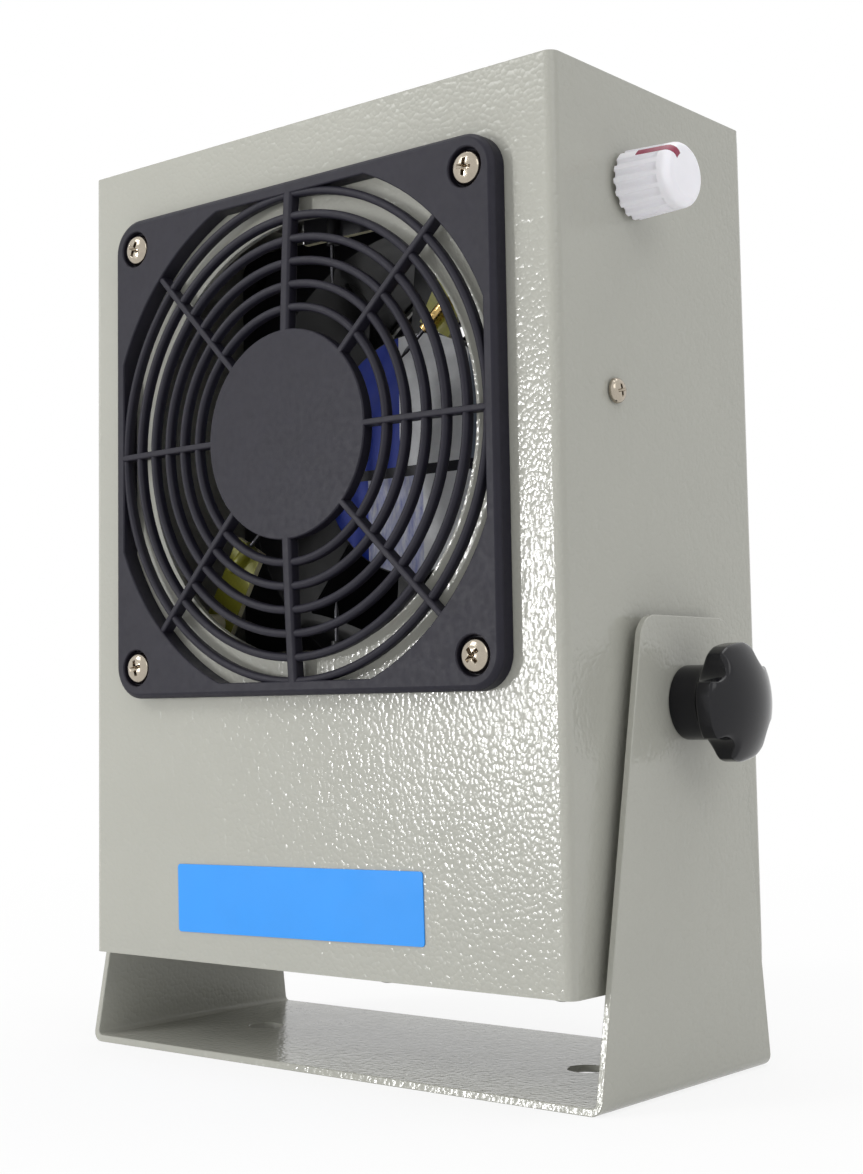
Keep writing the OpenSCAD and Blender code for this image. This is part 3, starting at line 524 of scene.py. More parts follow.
class BLOWER_OT_sheet_metal(bpy.types.Operator):
    """Housing, cover and bracket with eased cut edges and powder coat"""
    bl_idname = "blower.sheet_metal"
    bl_label = "Sheet Metal"

    def execute(self, context):
        edge = context.scene.blower_sizes.sheet_edge
        for node, name in (("bracket", "tilt_bracket"), ("front_shell", "shell"),
                           ("rear_cover", "cover")):
            dress(node, name, finish.powder, edge, 50.0)
        return {"FINISHED"}


# ---------- guards ----------

def square_ring(half, corner, steps=10):
    """Points of a square with round corners, anticlockwise."""
    points = []
    for turn in range(4):
        for step in range(steps + 1):
            a = math.radians(90 * turn + 90 * step / steps)
            cx, cy = ((1, 1), (-1, 1), (-1, -1), (1, -1))[turn]
            points.append((cx * (half - corner) + corner * math.cos(a),
                           cy * (half - corner) + corner * math.sin(a)))
    return points


def guard_opening(s, steps=24):
    """Points of a guard's opening: a circle cut off by four flats."""
    cut = math.degrees(math.acos(s.guard_flat / s.guard_round))
    points = []
    for turn in range(4):
        for step in range(steps + 1):
            a = math.radians(90 * turn + cut + (90 - 2 * cut) * step / steps)
            points.append((s.guard_round * math.cos(a), s.guard_round * math.sin(a)))
    return points


def disc_ring(x, y, r, steps=32):
    return [(x + r * math.cos(2 * math.pi * i / steps), y + r * math.sin(2 * math.pi * i / steps))
            for i in range(steps)]


def loop(bm, points, z):
    return [bm.verts.new((x, y, z)) for x, y in points]


def sheet(bm, *loops):
    """Fills the flat area between the first loop and the ones inside it."""
    edges = []
    for verts in loops:
        for i in range(len(verts)):
            pair = (verts[i], verts[(i + 1) % len(verts)])
            edges.append(bm.edges.get(pair) or bm.edges.new(pair))
    bmesh.ops.triangle_fill(bm, edges=edges, use_beauty=True)


def guard_frame(s):
    """The square frame of a guard with its bevel, opening and sunk screw holes."""
    bm = bmesh.new()
    half, t, cut = GUARD_W / 2, s.guard_t, s.guard_bevel
    sunk, seat_r, hole_r = t - 2.0 * MM, 4.45 * MM, 2.2 * MM
    back = loop(bm, square_ring(half, s.guard_r), 0)
    side = loop(bm, square_ring(half, s.guard_r), t - cut)
    face = loop(bm, square_ring(half - cut, s.guard_r - cut), t)
    inner_back = loop(bm, guard_opening(s), 0)
    inner_face = loop(bm, guard_opening(s), t)
    wall(bm, back, side)
    wall(bm, side, face)
    wall(bm, inner_back, inner_face)
    faces, backs = [face, inner_face], [back, inner_back]
    for x in (-s.guard_at, s.guard_at):
        for y in (-s.guard_at, s.guard_at):
            rim = loop(bm, disc_ring(x, y, seat_r), t)
            floor = loop(bm, disc_ring(x, y, seat_r), sunk)
            hole = loop(bm, disc_ring(x, y, hole_r), sunk)
            back_rim = loop(bm, disc_ring(x, y, hole_r), 0)
            wall(bm, rim, floor)
            wall(bm, floor, hole)
            wall(bm, hole, back_rim)
            faces.append(rim)
            backs.append(back_rim)
    sheet(bm, *faces)
    sheet(bm, *backs)
    return closed_mesh(bm, "guard_frame")


# each input of the grille's tree and the property it is set from
GRILLE = {"Rings": "rings", "First Ring": "ring_first", "Opening": "guard_flat",
          "Corner Reach": "guard_round", "Ring Width": "ring_w", "Ring Depth": "ring_h",
          "Disc": "disc_r", "Frame": "guard_t", "Rise": "grille_rise", "Spoke Depth": "spoke_h",
          "Wide Spoke": "wide_spoke", "Thin Spoke": "thin_spoke"}


def grille_tree():
    """Domed grille: a disc, rings that follow the dome, and spokes."""
    kinds = {key: "Int" if key == "Rings" else "Float" for key in GRILLE}
    tree, given = group("grille", {**kinds, "Material": "Material"})
    plus, less, times = sums(tree)

    def dome(x, y, drop):
        """Height of the dome over a point, less a drop."""
        far = maths(tree, "DIVIDE", plus(times(x, x), times(y, y)),
                    times(given["Opening"], given["Opening"]))
        return less(plus(given["Frame"], times(given["Rise"], less(1.0, far))), drop)

    def follow(geometry, drop):
        """Lifts a flat shape onto the dome."""
        at = add(tree, "ShaderNodeSeparateXYZ",
                 {0: out(tree, "GeometryNodeInputPosition")}).outputs
        lift = out(tree, "ShaderNodeCombineXYZ", {2: dome(at[0], at[1], drop)})
        return out(tree, "GeometryNodeSetPosition", {"Geometry": geometry, "Offset": lift})

    def section(width, depth, share):
        """A bar's cross section with rounded corners."""
        bar = out(tree, "GeometryNodeCurvePrimitiveQuadrilateral",
                  {"Width": width, "Height": depth})
        return out(tree, "GeometryNodeFilletCurve",
                   {"Curve": bar, "Radius": times(width, share), "Count": 4}, mode="POLY")

    def sweep(path, profile):
        upright = out(tree, "GeometryNodeSetCurveNormal", {"Curve": path}, mode="Z_UP")
        return out(tree, "GeometryNodeCurveToMesh", {"Curve": upright, "Profile Curve": profile,
                                                     "Fill Caps": True})

    half = times(given["Ring Depth"], 0.5)
    pitch = maths(tree, "DIVIDE", less(given["Opening"], given["First Ring"]),
                  less(given["Rings"], 1.0))
    index = out(tree, "GeometryNodeInputIndex")
    radius = plus(given["First Ring"], times(pitch, index))
    row = out(tree, "GeometryNodeMeshLine", {"Count": given["Rings"], "Offset": (0, 0, 0)})
    circle = out(tree, "GeometryNodeCurvePrimitiveCircle", {"Resolution": 144, "Radius": 1.0})
    placed = out(tree, "GeometryNodeInstanceOnPoints",
                 {"Points": row, "Instance": circle, "Scale": radius})
    circles = out(tree, "GeometryNodeRealizeInstances", {"Geometry": placed})
    rings = sweep(follow(circles, plus(half, 0.3 * MM)),
                  section(given["Ring Width"], given["Ring Depth"], 0.49))

    def spokes(first, step, count, width, reach):
        start = out(tree, "ShaderNodeCombineXYZ", {0: less(given["Disc"], 1.0 * MM)})
        end = out(tree, "ShaderNodeCombineXYZ", {0: reach})
        line = out(tree, "GeometryNodeCurvePrimitiveLine", {"Start": start, "End": end})
        path = out(tree, "GeometryNodeResampleCurve", {"Curve": line, "Count": 14})
        bar = sweep(follow(path, times(given["Spoke Depth"], 0.5)),
                    section(width, given["Spoke Depth"], 0.3))
        many = out(tree, "GeometryNodeMeshLine", {"Count": count, "Offset": (0, 0, 0)})
        angle = plus(math.radians(first), times(math.radians(step), index))
        turn = out(tree, "ShaderNodeCombineXYZ", {2: angle})
        return out(tree, "GeometryNodeInstanceOnPoints",
                   {"Points": many, "Instance": bar, "Rotation": turn})

    short = plus(given["Opening"], 1.0 * MM)
    far = plus(given["Corner Reach"], 1.0 * MM)
    upright = spokes(90, 180, 2, given["Wide Spoke"], short)
    level = spokes(0, 180, 2, given["Thin Spoke"], short)
    slanted = spokes(45, 90, 4, given["Thin Spoke"], far)

    plate = out(tree, "GeometryNodeMeshCylinder", {
        "Vertices": 96, "Side Segments": 4, "Fill Segments": 10, "Radius": given["Disc"],
        "Depth": times(given["Spoke Depth"], 0.9)})
    disc = follow(plate, times(given["Spoke Depth"], 0.45))
    close_group(tree, given["Material"], given["Geometry"], rings, upright, level, slanted, disc)
    return tree


class BLOWER_OT_guards(bpy.types.Operator):
    """Front and rear finger guards, moulded in one with their frames"""
    bl_idname = "blower.guards"
    bl_label = "Finger Guards"

    def execute(self, context):
        s = context.scene.blower_sizes
        tree = grille_tree()
        front = Matrix.Translation((0, FRONT_Y, FAN_Z)) @ Matrix.Rotation(math.radians(90), 4, "X")
        rear = (Matrix.Translation((0, REAR_Y, FAN_Z)) @ Matrix.Rotation(math.pi, 4, "Z")
                @ Matrix.Rotation(math.radians(90), 4, "X"))
        for node, name, place in (("front_guard", "front_finger_guard", front),
                                  ("rear_guard", "rear_finger_guard", rear)):
            made = piece(name, guard_frame(s), finish.guard)
            grow = made.modifiers.new("grille", "NODES")
            grow.node_group = tree
            for key, prop in GRILLE.items():
                set_input(grow, key, getattr(s, prop))
            set_input(grow, "Material", finish.guard)
            mesh = baked(made)
            mesh.transform(place)
            smooth(mesh, 38)
            eased(made, s.moulded_edge, 38)
            stands_for(made, node)
        return {"FINISHED"}


# ---------- screws ----------

HEAD_TALL = 0.33


def screw_form():
    """A pan-head screw's head, 1 across, with a tapered cross recess. It points up in Z."""
    bm = bmesh.new()
    profile = [(0.47, 0.0), (0.5, 0.03), (0.5, 0.10), (0.485, 0.16), (0.44, 0.225), (0.36, 0.28),
               (0.25, 0.315), (0.12, HEAD_TALL)]
    rings = stack(bm, profile, 40)
    bm.faces.new(rings[-1])
    bm.faces.new(list(reversed(rings[0])))
    head = piece("screw_head", closed_mesh(bm, "screw_head"))

    bm = bmesh.new()
    for turn in (0, 90):
        shape = bmesh.ops.create_cube(bm, size=1.0)["verts"]
        for v in shape:
            low = v.co.z < 0
            v.co.x *= 0.26 if low else 0.62
            v.co.y *= 0.07 if low else 0.14
            v.co.z = 0.08 if low else 0.42
        bmesh.ops.rotate(bm, verts=shape, cent=(0, 0, 0),
                         matrix=Matrix.Rotation(math.radians(turn), 3, "Z"))
    tool = piece("cross_recess", to_mesh(bm, "cross_recess"))
    cut = head.modifiers.new("recess", "BOOLEAN")
    cut.operation = "DIFFERENCE"
    cut.solver = "EXACT"
    cut.use_self = True
    cut.object = tool
    edge = head.modifiers.new("edge", "BEVEL")
    edge.width = 0.012
    edge.segments = 1
    edge.limit_method = "ANGLE"
    edge.angle_limit = math.radians(50)
    baked(head)
    bpy.data.objects.remove(tool)
    return head


def screw_tree():
    """Puts a screw with its shank on every point of a mesh."""
    tree, given = group("screws", {"Head": "Object", "Material": "Material"})

    def named(key, kind):
        return out(tree, "GeometryNodeInputNamedAttribute", {"Name": key}, data_type=kind)

    points = out(tree, "GeometryNodeMeshToPoints", {"Mesh": given["Geometry"]})
    form = add(tree, "GeometryNodeObjectInfo", {"Object": given["Head"], "As Instance": True})
    turn = named("turn", "FLOAT_VECTOR")
    heads = out(tree, "GeometryNodeInstanceOnPoints", {
        "Points": points, "Instance": form.outputs["Geometry"], "Rotation": turn,
        "Scale": named("head", "FLOAT")})
    rod = out(tree, "GeometryNodeMeshCylinder", {"Vertices": 16, "Radius": 0.5, "Depth": 1.0})
    shank = out(tree, "GeometryNodeTransform", {"Geometry": rod, "Translation": (0, 0, -0.5)})
    shanks = out(tree, "GeometryNodeInstanceOnPoints", {
        "Points": points, "Instance": shank, "Rotation": turn,
        "Scale": named("shank", "FLOAT_VECTOR")})
    close_group(tree, given["Material"], heads, shanks)
    return tree


def islands(node):
    """Low and high corner of each loose part of a node."""
    bm = shape_of(node)
    seen, found = set(), []
    for first in bm.verts:
        if first in seen:
            continue
        seen.add(first)
        waiting, part = [first], []
        while waiting:
            v = waiting.pop()
            part.append(v.co.copy())
            for e in v.link_edges:
                other = e.other_vert(v)
                if other not in seen:
                    seen.add(other)
                    waiting.append(other)
        co = np.array(part)
        found.append((Vector(co.min(0)), Vector(co.max(0))))
    bm.free()
    return sorted(found, key=lambda box: tuple(round(c, 5) for c in box[0]))


FORWARD, BACK, RIGHT = Vector((0, -1, 0)), Vector((0, 1, 0)), Vector((1, 0, 0))
UP, DOWN = Vector((0, 0, 1)), Vector((0, 0, -1))
SPINS = (12, 64, 38, 81, 27, 55, 5, 73)
BOARD_Z = middle("control_board").z


def put_screws(tree, head, node, facing, thread):
    """Replaces a node of screws; their places, heads and lengths are read from it."""
    at, turns, heads, shanks = [], [], [], []
    for i, (low, high) in enumerate(islands(node)):
        under_board = node == "board_screws" and low.z < BOARD_Z
        way = DOWN if under_board else facing
        axis = max(range(3), key=lambda a: abs(way[a]))
        across = 0 if axis else 1
        wide = high[across] - low[across]
        tall = HEAD_TALL * wide
        base = (low + high) / 2
        base[axis] = low[axis] + tall if way[axis] < 0 else high[axis] - tall
        spin = Matrix.Rotation(math.radians(SPINS[i % len(SPINS)]), 4, "Z")
        at.append(tuple(base))
        turns += (way.to_track_quat("Z", "Y") @ spin.to_quaternion()).to_euler()
        heads.append(wide)
        shanks += (thread, thread, high[axis] - low[axis] - tall)
    mesh = bpy.data.meshes.new(node + "_plated")
    mesh.from_pydata(at, [], [])
    for key, kind, field, values in (("turn", "FLOAT_VECTOR", "vector", turns),
                                     ("head", "FLOAT", "value", heads),
                                     ("shank", "FLOAT_VECTOR", "vector", shanks)):
        mesh.attributes.new(key, kind, "POINT").data.foreach_set(field, values)
    screws = piece(node + "_plated", mesh, finish.steel)
    grow = screws.modifiers.new("screws", "NODES")
    grow.node_group = tree
    set_input(grow, "Head", head)
    set_input(grow, "Material", finish.steel)
    smooth(baked(screws), 32)
    stands_for(screws, node)


class BLOWER_OT_screws(bpy.types.Operator):
    """Pan-head screws with a cross recess, one form repeated"""
    bl_idname = "blower.screws"
    bl_label = "Screws"

    def execute(self, context):
        tree, head = screw_tree(), screw_form()
        for node, facing, thread in (("guard_screws", FORWARD, 4), ("fan_screws", BACK, 4),
                                     ("cover_screws", BACK, 3), ("inlet_screws", BACK, 3),
                                     ("earth_screw", RIGHT, 3), ("hv_screws", DOWN, 3),
                                     ("board_screws", UP, 3)):
            put_screws(tree, head, node, facing, thread * MM)
        bpy.data.objects.remove(head)
        return {"FINISHED"}


# ---------- clamp knobs ----------

LOBES = 4
KNOB_TURN = 9.0
HOLLOW_SHARE = 0.15
HOLLOW_OUT = 0.9 * MM
HOLLOW_OPENS = 14 * MM
LOBE_FLAT = 0.965
OUTLINE_EDGE = 1.4 * MM
KNOB_EDGE = 1.6 * MM
FLARE = 0.6


def soft_min(a, b, k):
    """The smaller of two values, blended where they are within k of each other."""
    h = np.clip(0.5 + 0.5 * (b - a) / k, 0.0, 1.0)
    return b * (1 - h) + a * h - k * h * (1 - h)


def star_radius(angle, d):
    """Distance of a star knob's outline from its axis: flat lobes between rounded hollows."""
    hollow, half = d * HOLLOW_SHARE, math.pi / LOBES
    at = d / 2 + HOLLOW_OUT
    off = np.abs(angle % (2 * half) - half)
    root = np.sqrt(np.maximum(hollow ** 2 - (at * np.sin(off)) ** 2, 0.0))
    past = np.maximum(off - math.asin(hollow / at), 0.0)
    lobe = d / 2 * np.minimum(LOBE_FLAT / np.cos(half - off), 1.0)
    return soft_min(lobe, at * np.cos(off) - root + HOLLOW_OPENS * past, OUTLINE_EDGE)


def walk(profile, pitch):
    """Points along a half section at about an even pitch."""
    out = []
    for (r0, z0), (r1, z1) in zip(profile, profile[1:]):
        n = max(1, int(round(math.hypot(r1 - r0, z1 - z0) / pitch)))
        out += [(r0 + (r1 - r0) * i / n, z0 + (z1 - z0) * i / n) for i in range(n)]
    return out + [profile[-1]]


def turned(name, rows, steps):
    """A closed mesh from rows of (radius for each step, height); both ends close in a point."""
    bm = bmesh.new()
    rings = stack(bm, rows, steps)
    for ring, z in ((rings[0], rows[0][1]), (rings[-1], rows[-1][1])):
        tip = bm.verts.new((0, 0, z))
        for i in range(steps):
            bm.faces.new((ring[i], ring[(i + 1) % steps], tip))
    return closed_mesh(bm, name)


def knob_mesh(s, name, steps=360, dome_steps=29):
    """A knob along Z: its round collar, the flare to the lobes, and their domed face."""
    tip, collar = s.knob_d / 2, s.collar_d / 2
    flare = s.collar_h + (tip - collar) * FLARE
    dome_r = (tip ** 2 + s.dome_h ** 2) / (2 * s.dome_h)
    edge = 0.5 * MM
    rows = walk([(0.3 * collar, 0), (collar - edge, 0), (collar - 0.15 * edge, 0.15 * edge),
                 (collar, edge), (collar, s.collar_h - 0.4 * MM),
                 (collar + 0.3 * MM, s.collar_h + 0.05 * MM), (tip, flare),
                 (tip, s.knob_h - s.dome_h)], 0.45 * MM)
    for i in range(1, dome_steps):
        r = tip * (1 - i / dome_steps)
        rows.append((r, s.knob_h - dome_r + math.sqrt(dome_r ** 2 - r * r)))
    star = star_radius(np.linspace(0, 2 * math.pi, steps, endpoint=False), s.knob_d)
    return turned(name, [(soft_min(r, star, KNOB_EDGE), z) for r, z in rows], steps)


class BLOWER_OT_knobs(bpy.types.Operator):
    """Star knobs that clamp the housing in its bracket"""
    bl_idname = "blower.knobs"
    bl_label = "Clamp Knobs"

    def execute(self, context):
        s = context.scene.blower_sizes
        for side, node in ((1, "right_knob"), (-1, "left_knob")):
            low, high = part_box(node)
            mid = middle("right_stud")
            x = low.x if side > 0 else high.x
            mesh = knob_mesh(s, node + "_moulded")
            mesh.transform(Matrix.Translation((x, mid.y, mid.z))
                           @ Matrix.Rotation(side * math.radians(90), 4, "Y")
                           @ Matrix.Rotation(math.radians(-90 + side * KNOB_TURN), 4, "Z"))
            smooth(mesh, 60)
            stands_for(piece(node + "_moulded", mesh, finish.knob), node)
        return {"FINISHED"}


# ---------- dial ----------

FLUTES = 16
FLUTE_FROM = 16.0
FLUTE_R = 0.95 * MM
FLUTE_OUT = 0.2 * MM
FLUTE_FADE = 1.2 * MM
FLUTES_END = 0.76
BEVEL_FROM = 0.86
DIAL_REST = 45.0
POINTER_FOOT = 0.34
POINTER_IN = 2.6 * MM
POINTER_PROUD = 0.05 * MM
POINTER_DEEP = 0.25 * MM


def dial_mesh(s, crown, steps=432):
    """A dial along Z: a slightly tapered body with flutes that end below its smooth crown."""
    base, cap, h = s.dial_d / 2, s.cap_d / 2, s.dial_h
    bevel = crown[0][1]
    rows = walk([(base * 0.3, 0), (base - 0.2 * MM, 0), (base, 0.2 * MM)] + crown
                + [(0.4 * MM, h)], 0.35 * MM)
    angle = np.linspace(0, 2 * math.pi, steps, endpoint=False)
    made = []
    for r, z in rows:
        radii = np.full(steps, r)
        if r > cap - 0.3 * MM and z < bevel:
            fade = min(1.0, max(0.0, (h * FLUTES_END - z) / FLUTE_FADE))
            skin = base + (cap - base) * z / bevel
            for i in range(FLUTES):
                a = math.radians(FLUTE_FROM + i * (360 - 2 * FLUTE_FROM) / (FLUTES - 1))
                off = (angle - a + math.pi) % (2 * math.pi) - math.pi
                side = np.abs(off) * skin
                cut = np.sqrt(np.maximum(FLUTE_R ** 2 - side ** 2, 0.0)) - FLUTE_OUT
                radii = radii - np.maximum(cut, 0.0) * math.sqrt(fade)
        made.append((radii, z))
    return turned("dial_moulded", made, steps)


def pointer_mesh(s, crown, across=4):
    """A painted line that runs up the dial and over its crown, as a thin closed strip."""
    base, cap, h = s.dial_d / 2, s.cap_d / 2, s.dial_h
    bevel, foot = crown[0][1], h * POINTER_FOOT
    line = walk([(cap + (base - cap) * (bevel - foot) / bevel, foot)] + crown
                + [(cap - POINTER_IN, h)], 0.5 * MM)
    bm = bmesh.new()
    rims = []
    for lift in (POINTER_PROUD, -POINTER_DEEP):
        grid = []
        for r, z in line:
            ys = [s.pointer_w * (k / across - 0.5) for k in range(across + 1)]
            up = z + (lift if z > bevel else 0)
            grid.append([bm.verts.new((math.sqrt(max((r + lift) ** 2 - y * y, 0)), y, up))
                         for y in ys])
        for a, b in zip(grid, grid[1:]):
            for k in range(across):
                bm.faces.new((a[k], a[k + 1], b[k + 1], b[k]))
        rims.append([row[0] for row in grid] + grid[-1][1:]
                    + [row[-1] for row in reversed(grid[:-1])] + list(reversed(grid[0][1:-1])))
    wall(bm, *rims)
    return closed_mesh(bm, "pointer_line")


class BLOWER_OT_dial(bpy.types.Operator):
    """Fluted speed dial with its pointer line"""
    bl_idname = "blower.dial"
    bl_label = "Speed Dial"

    def execute(self, context):
        s = context.scene.blower_sizes
        mid = middle("dial")
        place = (Matrix.Translation((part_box("dial")[0].x, mid.y, mid.z))
                 @ Matrix.Rotation(math.radians(90), 4, "Z")
                 @ Matrix.Rotation(math.radians(90), 4, "X")
                 @ Matrix.Rotation(math.radians(90 + DIAL_REST), 4, "Z"))
        cap, h = s.cap_d / 2, s.dial_h
        bevel = h * BEVEL_FROM
        crown = [(cap, bevel), (cap - 0.12 * MM, bevel + 0.6 * MM),
                 (cap - 0.5 * MM, h - 0.75 * MM), (cap - 1.1 * MM, h - 0.2 * MM),
                 (cap - 1.8 * MM, h)]
        for node, mesh, finished in (("dial", dial_mesh(s, crown), finish.dial),
                                     ("dial_pointer", pointer_mesh(s, crown), finish.pointer)):
            mesh.transform(place)
            smooth(mesh, 40)
            stands_for(piece(mesh.name, mesh, finished), node)
        return {"FINISHED"}


# ---------- fan, ionizer, label and inner parts ----------

class BLOWER_OT_fan(bpy.types.Operator):
    """Fan frame, rotor and the sticker on its motor plate"""
    bl_idname = "blower.fan"
    bl_label = "Fan"

    def execute(self, context):
        edge = context.scene.blower_sizes.moulded_edge
        dress("fan_frame", "fan_frame_moulded", finish.fan, edge, 40.0)
        dress("fan_rotor", "fan_rotor_moulded", finish.fan, edge * 0.5, 40.0)
        dress("fan_label", "motor_sticker", finish.sticker, 0.0)
        paint(finish.stator, "fan_stator")
        paint(finish.steel, "fan_bearings", "fan_shaft", "fan_nuts", "guard_nuts")
        return {"FINISHED"}


# the level boards, whose faces are painted near black as shade, lie this far above and below the
# fan's middle, within this reach of it
SHADE_PAINT_FROM_Z = 48.5 * MM
SHADE_PAINT_TO_X = 28 * MM
# the sockets of black nylon stand this close to the middle plane
BLACK_TO_X = 4 * MM


class BLOWER_OT_ionizer(bpy.types.Operator):
    """Emitter boards with cut edges, their posts, sockets and needles"""
    bl_idname = "blower.ionizer"
    bl_label = "Ionizer"

    def execute(self, context):
        boards = dress("emitter_boards", "laminate_boards", finish.board, 0.08 * MM).data
        boards.materials.append(finish.cut)
        boards.materials.append(finish.dark_board)
        for face in boards.polygons:
            x, up = abs(face.center.x), abs(face.center.z - FAN_Z)
            flat = abs(face.normal.y) > 0.7
            # painted shade: the flat faces of the level boards near the middle get near-black
            # laminate in place of the shadow they lie in
            dark = up > SHADE_PAINT_FROM_Z and x < SHADE_PAINT_TO_X
            face.material_index = (2 if dark else 0) if flat else 1
        dress("board_posts", "nylon_posts", finish.nylon, 0.12 * MM)
        sockets = dress("emitter_sockets", "brass_sockets", finish.brass, 0.12 * MM).data
        sockets.materials.append(finish.black_nylon)
        sockets.materials.append(finish.board)
        for face in sockets.polygons:
            x = face.center.x
            face.material_index = 1 if abs(x) < BLACK_TO_X else 2 if x < 0 else 0
        paint(finish.needle, "emitter_needles")
        return {"FINISHED"}


LABEL_TURN = -1.1


class BLOWER_OT_label(bpy.types.Operator):
    """Bare label on the front panel, stuck on a little out of true"""
    bl_idname = "blower.label"
    bl_label = "Label"

    def execute(self, context):
        made = dress("label_plate", "label_film", finish.label, 0.06 * MM)
        mid = middle("label_plate")
        made.data.transform(Matrix.Translation(mid)
                            @ Matrix.Rotation(math.radians(LABEL_TURN), 4, "Y")
                            @ Matrix.Translation(-mid))
        return {"FINISHED"}


class BLOWER_OT_inner_parts(bpy.types.Operator):
    """Mains inlet, pivots, potentiometer, earth point and electronics"""
    bl_idname = "blower.inner_parts"
    bl_label = "Inlet and Inner Parts"

    def execute(self, context):
        dress("power_inlet", "inlet_moulded", finish.inlet, 0.25 * MM)
        dress("fuse_drawer", "drawer_moulded", finish.inlet, 0.2 * MM)
        dress("pivot_washers", "nylon_washers", finish.black_nylon, 0.2 * MM)
        paint(finish.steel, "pivot_nuts", "right_stud", "left_stud", "pot_shaft",
              "speed_potentiometer", "pot_nut", "earth_nut", "inlet_nuts", "hv_nuts",
              "board_standoffs")
        paint(finish.brass, "earth_tag", "inlet_pins")
        paint(finish.potting, "hv_module")
        paint(finish.green_board, "control_board")
        paint(finish.component, "board_components")
        paint(finish.terminal, "terminal_block")
        paint(finish.fuse, "fuse")
        return {"FINISHED"}


# ---------- stage ----------

CAMERA_AT = (0.2927, -0.3520, 0.0822)
CAMERA_RIGHT = (0.76493946, 0.64393563, -0.01464645)
CAMERA_UP = (0.06685852, -0.05676453, 0.99614644)
CAMERA_BACK = (0.64062279, -0.76297096, -0.08647401)
FLOOR_HALF = 3


def area_lamp(name, at, to, width, height, watts):
    data = bpy.data.lights.new(name, "AREA")
    data.shape = "RECTANGLE"
    data.size, data.size_y = width, height
    data.energy = watts
    made = bpy.data.objects.new(name, data)
    bpy.context.scene.collection.objects.link(made)
    made.location = at
    made.rotation_euler = (Vector(to) - Vector(at)).to_track_quat("-Z", "Y").to_euler()


def seen_ray(tree):
    """1 where a ray comes from the camera, a glossy surface or clear plastic."""
    path = add(tree, "ShaderNodeLightPath").outputs
    direct = maths(tree, "MAXIMUM", path["Is Camera Ray"], path["Is Glossy Ray"])
    return maths(tree, "MAXIMUM", direct, path["Is Transmission Ray"])


def put_camera(scene):
    data = bpy.data.cameras.new("camera")
    data.lens = 57.06
    data.shift_x, data.shift_y = 0.02777, -0.03245
    data.clip_start, data.clip_end = 0.01, 20
    camera = bpy.data.objects.new("camera", data)
    scene.collection.objects.link(camera)
    turn = Matrix((CAMERA_RIGHT, CAMERA_UP, CAMERA_BACK)).transposed().to_4x4()
    camera.matrix_world = Matrix.Translation(CAMERA_AT) @ turn
    scene.camera = camera


def put_floor():
    """A pale floor that fades to white away from the object, and keeps its shadow."""
    bm = bmesh.new()
    for x, y in ((-1, -1), (1, -1), (1, 1), (-1, 1)):
        bm.verts.new((x * FLOOR_HALF, y * FLOOR_HALF, 0))
    bm.faces.new(bm.verts)
    mat = bpy.data.materials.new("pale floor")
    mat.use_nodes = True
    tree = mat.node_tree
    tree.nodes.clear()
    pale = out(tree, "ShaderNodeBsdfDiffuse", {"Color": (0.9, 0.9, 0.9, 1)})
    glow = out(tree, "ShaderNodeEmission", {"Color": (1, 1, 1, 1), "Strength": 1.0})
    where = add(tree, "ShaderNodeTexCoord").outputs["Object"]
    far = add(tree, "ShaderNodeVectorMath", {0: where}, operation="LENGTH").outputs["Value"]
    clear = out(tree, "ShaderNodeMapRange", {"Value": far, "From Min": 0.1, "From Max": 0.6,
                                             "To Min": 0.84, "To Max": 1.0})
    share = maths(tree, "MULTIPLY", seen_ray(tree), clear)
    both = out(tree, "ShaderNodeMixShader", {0: share, 1: pale, 2: glow})
    add(tree, "ShaderNodeOutputMaterial", {"Surface": both})
    piece("floor", to_mesh(bm, "floor"), mat)


def white_world():
    """Surroundings that are seen as white, and light the object softly, most from above."""
    world = bpy.data.worlds.new("surroundings")
    world.use_nodes = True
    tree = world.node_tree
    tree.nodes.clear()
    where = add(tree, "ShaderNodeTexCoord").outputs["Object"]
    rise = add(tree, "ShaderNodeSeparateXYZ", {0: where}).outputs[2]
    level = out(tree, "ShaderNodeMapRange", {"Value": rise, "From Min": -0.1, "From Max": 0.9,
                                             "To Min": 0.36, "To Max": 0.75})
    soft = out(tree, "ShaderNodeBackground", {"Color": (1, 1, 1, 1), "Strength": level})
    white = out(tree, "ShaderNodeBackground", {"Color": (1, 1, 1, 1), "Strength": 1.0})
    both = out(tree, "ShaderNodeMixShader", {0: seen_ray(tree), 1: soft, 2: white})
    add(tree, "ShaderNodeOutputWorld", {"Surface": both})
    return world


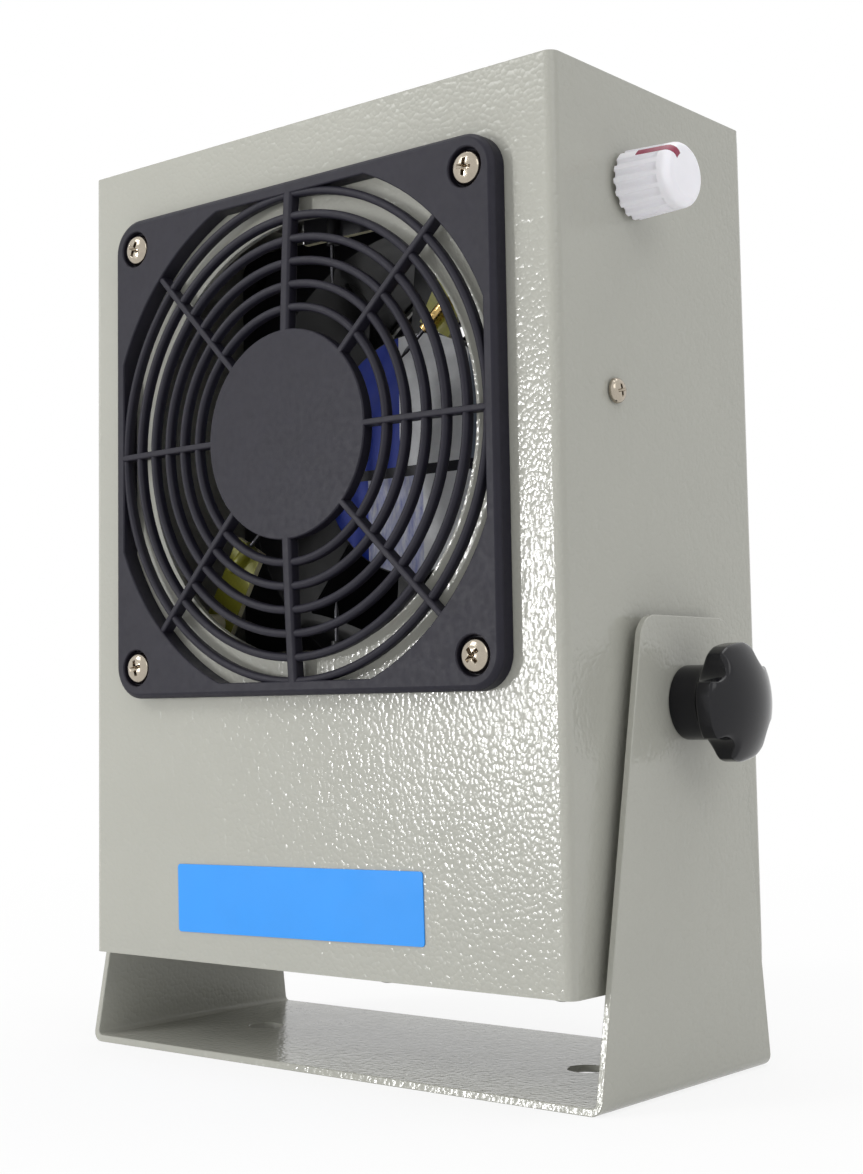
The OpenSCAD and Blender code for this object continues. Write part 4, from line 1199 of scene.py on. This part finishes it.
class BLOWER_OT_stage(bpy.types.Operator):
    """Camera, pale floor, white surroundings and soft lamps"""
    bl_idname = "blower.stage"
    bl_label = "Stage"

    def execute(self, context):
        scene = context.scene
        put_camera(scene)
        put_floor()
        scene.world = white_world()
        scene.view_settings.view_transform = "Standard"
        area_lamp("strip", (-0.70, -1.17, 0.17), (0.05, 0, 0.10), 0.07, 0.32, 5.2)
        area_lamp("key", (-0.75, -1.0, 1.0), (0, 0, 0.12), 0.5, 0.5, 4.2)
        area_lamp("fill", (1.1, -0.5, 0.8), (0, 0, 0.12), 0.7, 0.7, 2.2)
        area_lamp("top", (0.0, 0.2, 1.4), (0, 0, 0.1), 1.2, 0.9, 6.0)
        return {"FINISHED"}


# ---------- sidebar and registration ----------

STEPS = (BLOWER_OT_stage, BLOWER_OT_sheet_metal, BLOWER_OT_guards, BLOWER_OT_screws,
         BLOWER_OT_knobs, BLOWER_OT_dial, BLOWER_OT_fan, BLOWER_OT_ionizer, BLOWER_OT_label,
         BLOWER_OT_inner_parts)


class BLOWER_PT_sidebar(bpy.types.Panel):
    """Lists the pieces and the stage"""
    bl_idname = "BLOWER_PT_sidebar"
    bl_label = "Ionizing Blower"
    bl_space_type = "VIEW_3D"
    bl_region_type = "UI"
    bl_category = "Blower"

    def draw(self, context):
        for step in STEPS:
            self.layout.operator(step.bl_idname)
        for values in (context.scene.blower_sizes, context.scene.blower_colours):
            column = self.layout.column()
            for key in values.__annotations__:
                column.prop(values, key)


CLASSES = (BLOWER_PG_sizes, BLOWER_PG_colours, *STEPS, BLOWER_PT_sidebar)


def register():
    for kind in CLASSES:
        bpy.utils.register_class(kind)
    bpy.types.Scene.blower_sizes = bpy.props.PointerProperty(type=BLOWER_PG_sizes)
    bpy.types.Scene.blower_colours = bpy.props.PointerProperty(type=BLOWER_PG_colours)


def unregister():
    del bpy.types.Scene.blower_colours
    del bpy.types.Scene.blower_sizes
    for kind in reversed(CLASSES):
        bpy.utils.unregister_class(kind)


def main():
    register()
    for step in STEPS:
        area, name = step.bl_idname.split(".")
        getattr(getattr(bpy.ops, area), name)()


if __name__ == "__main__":
    main()
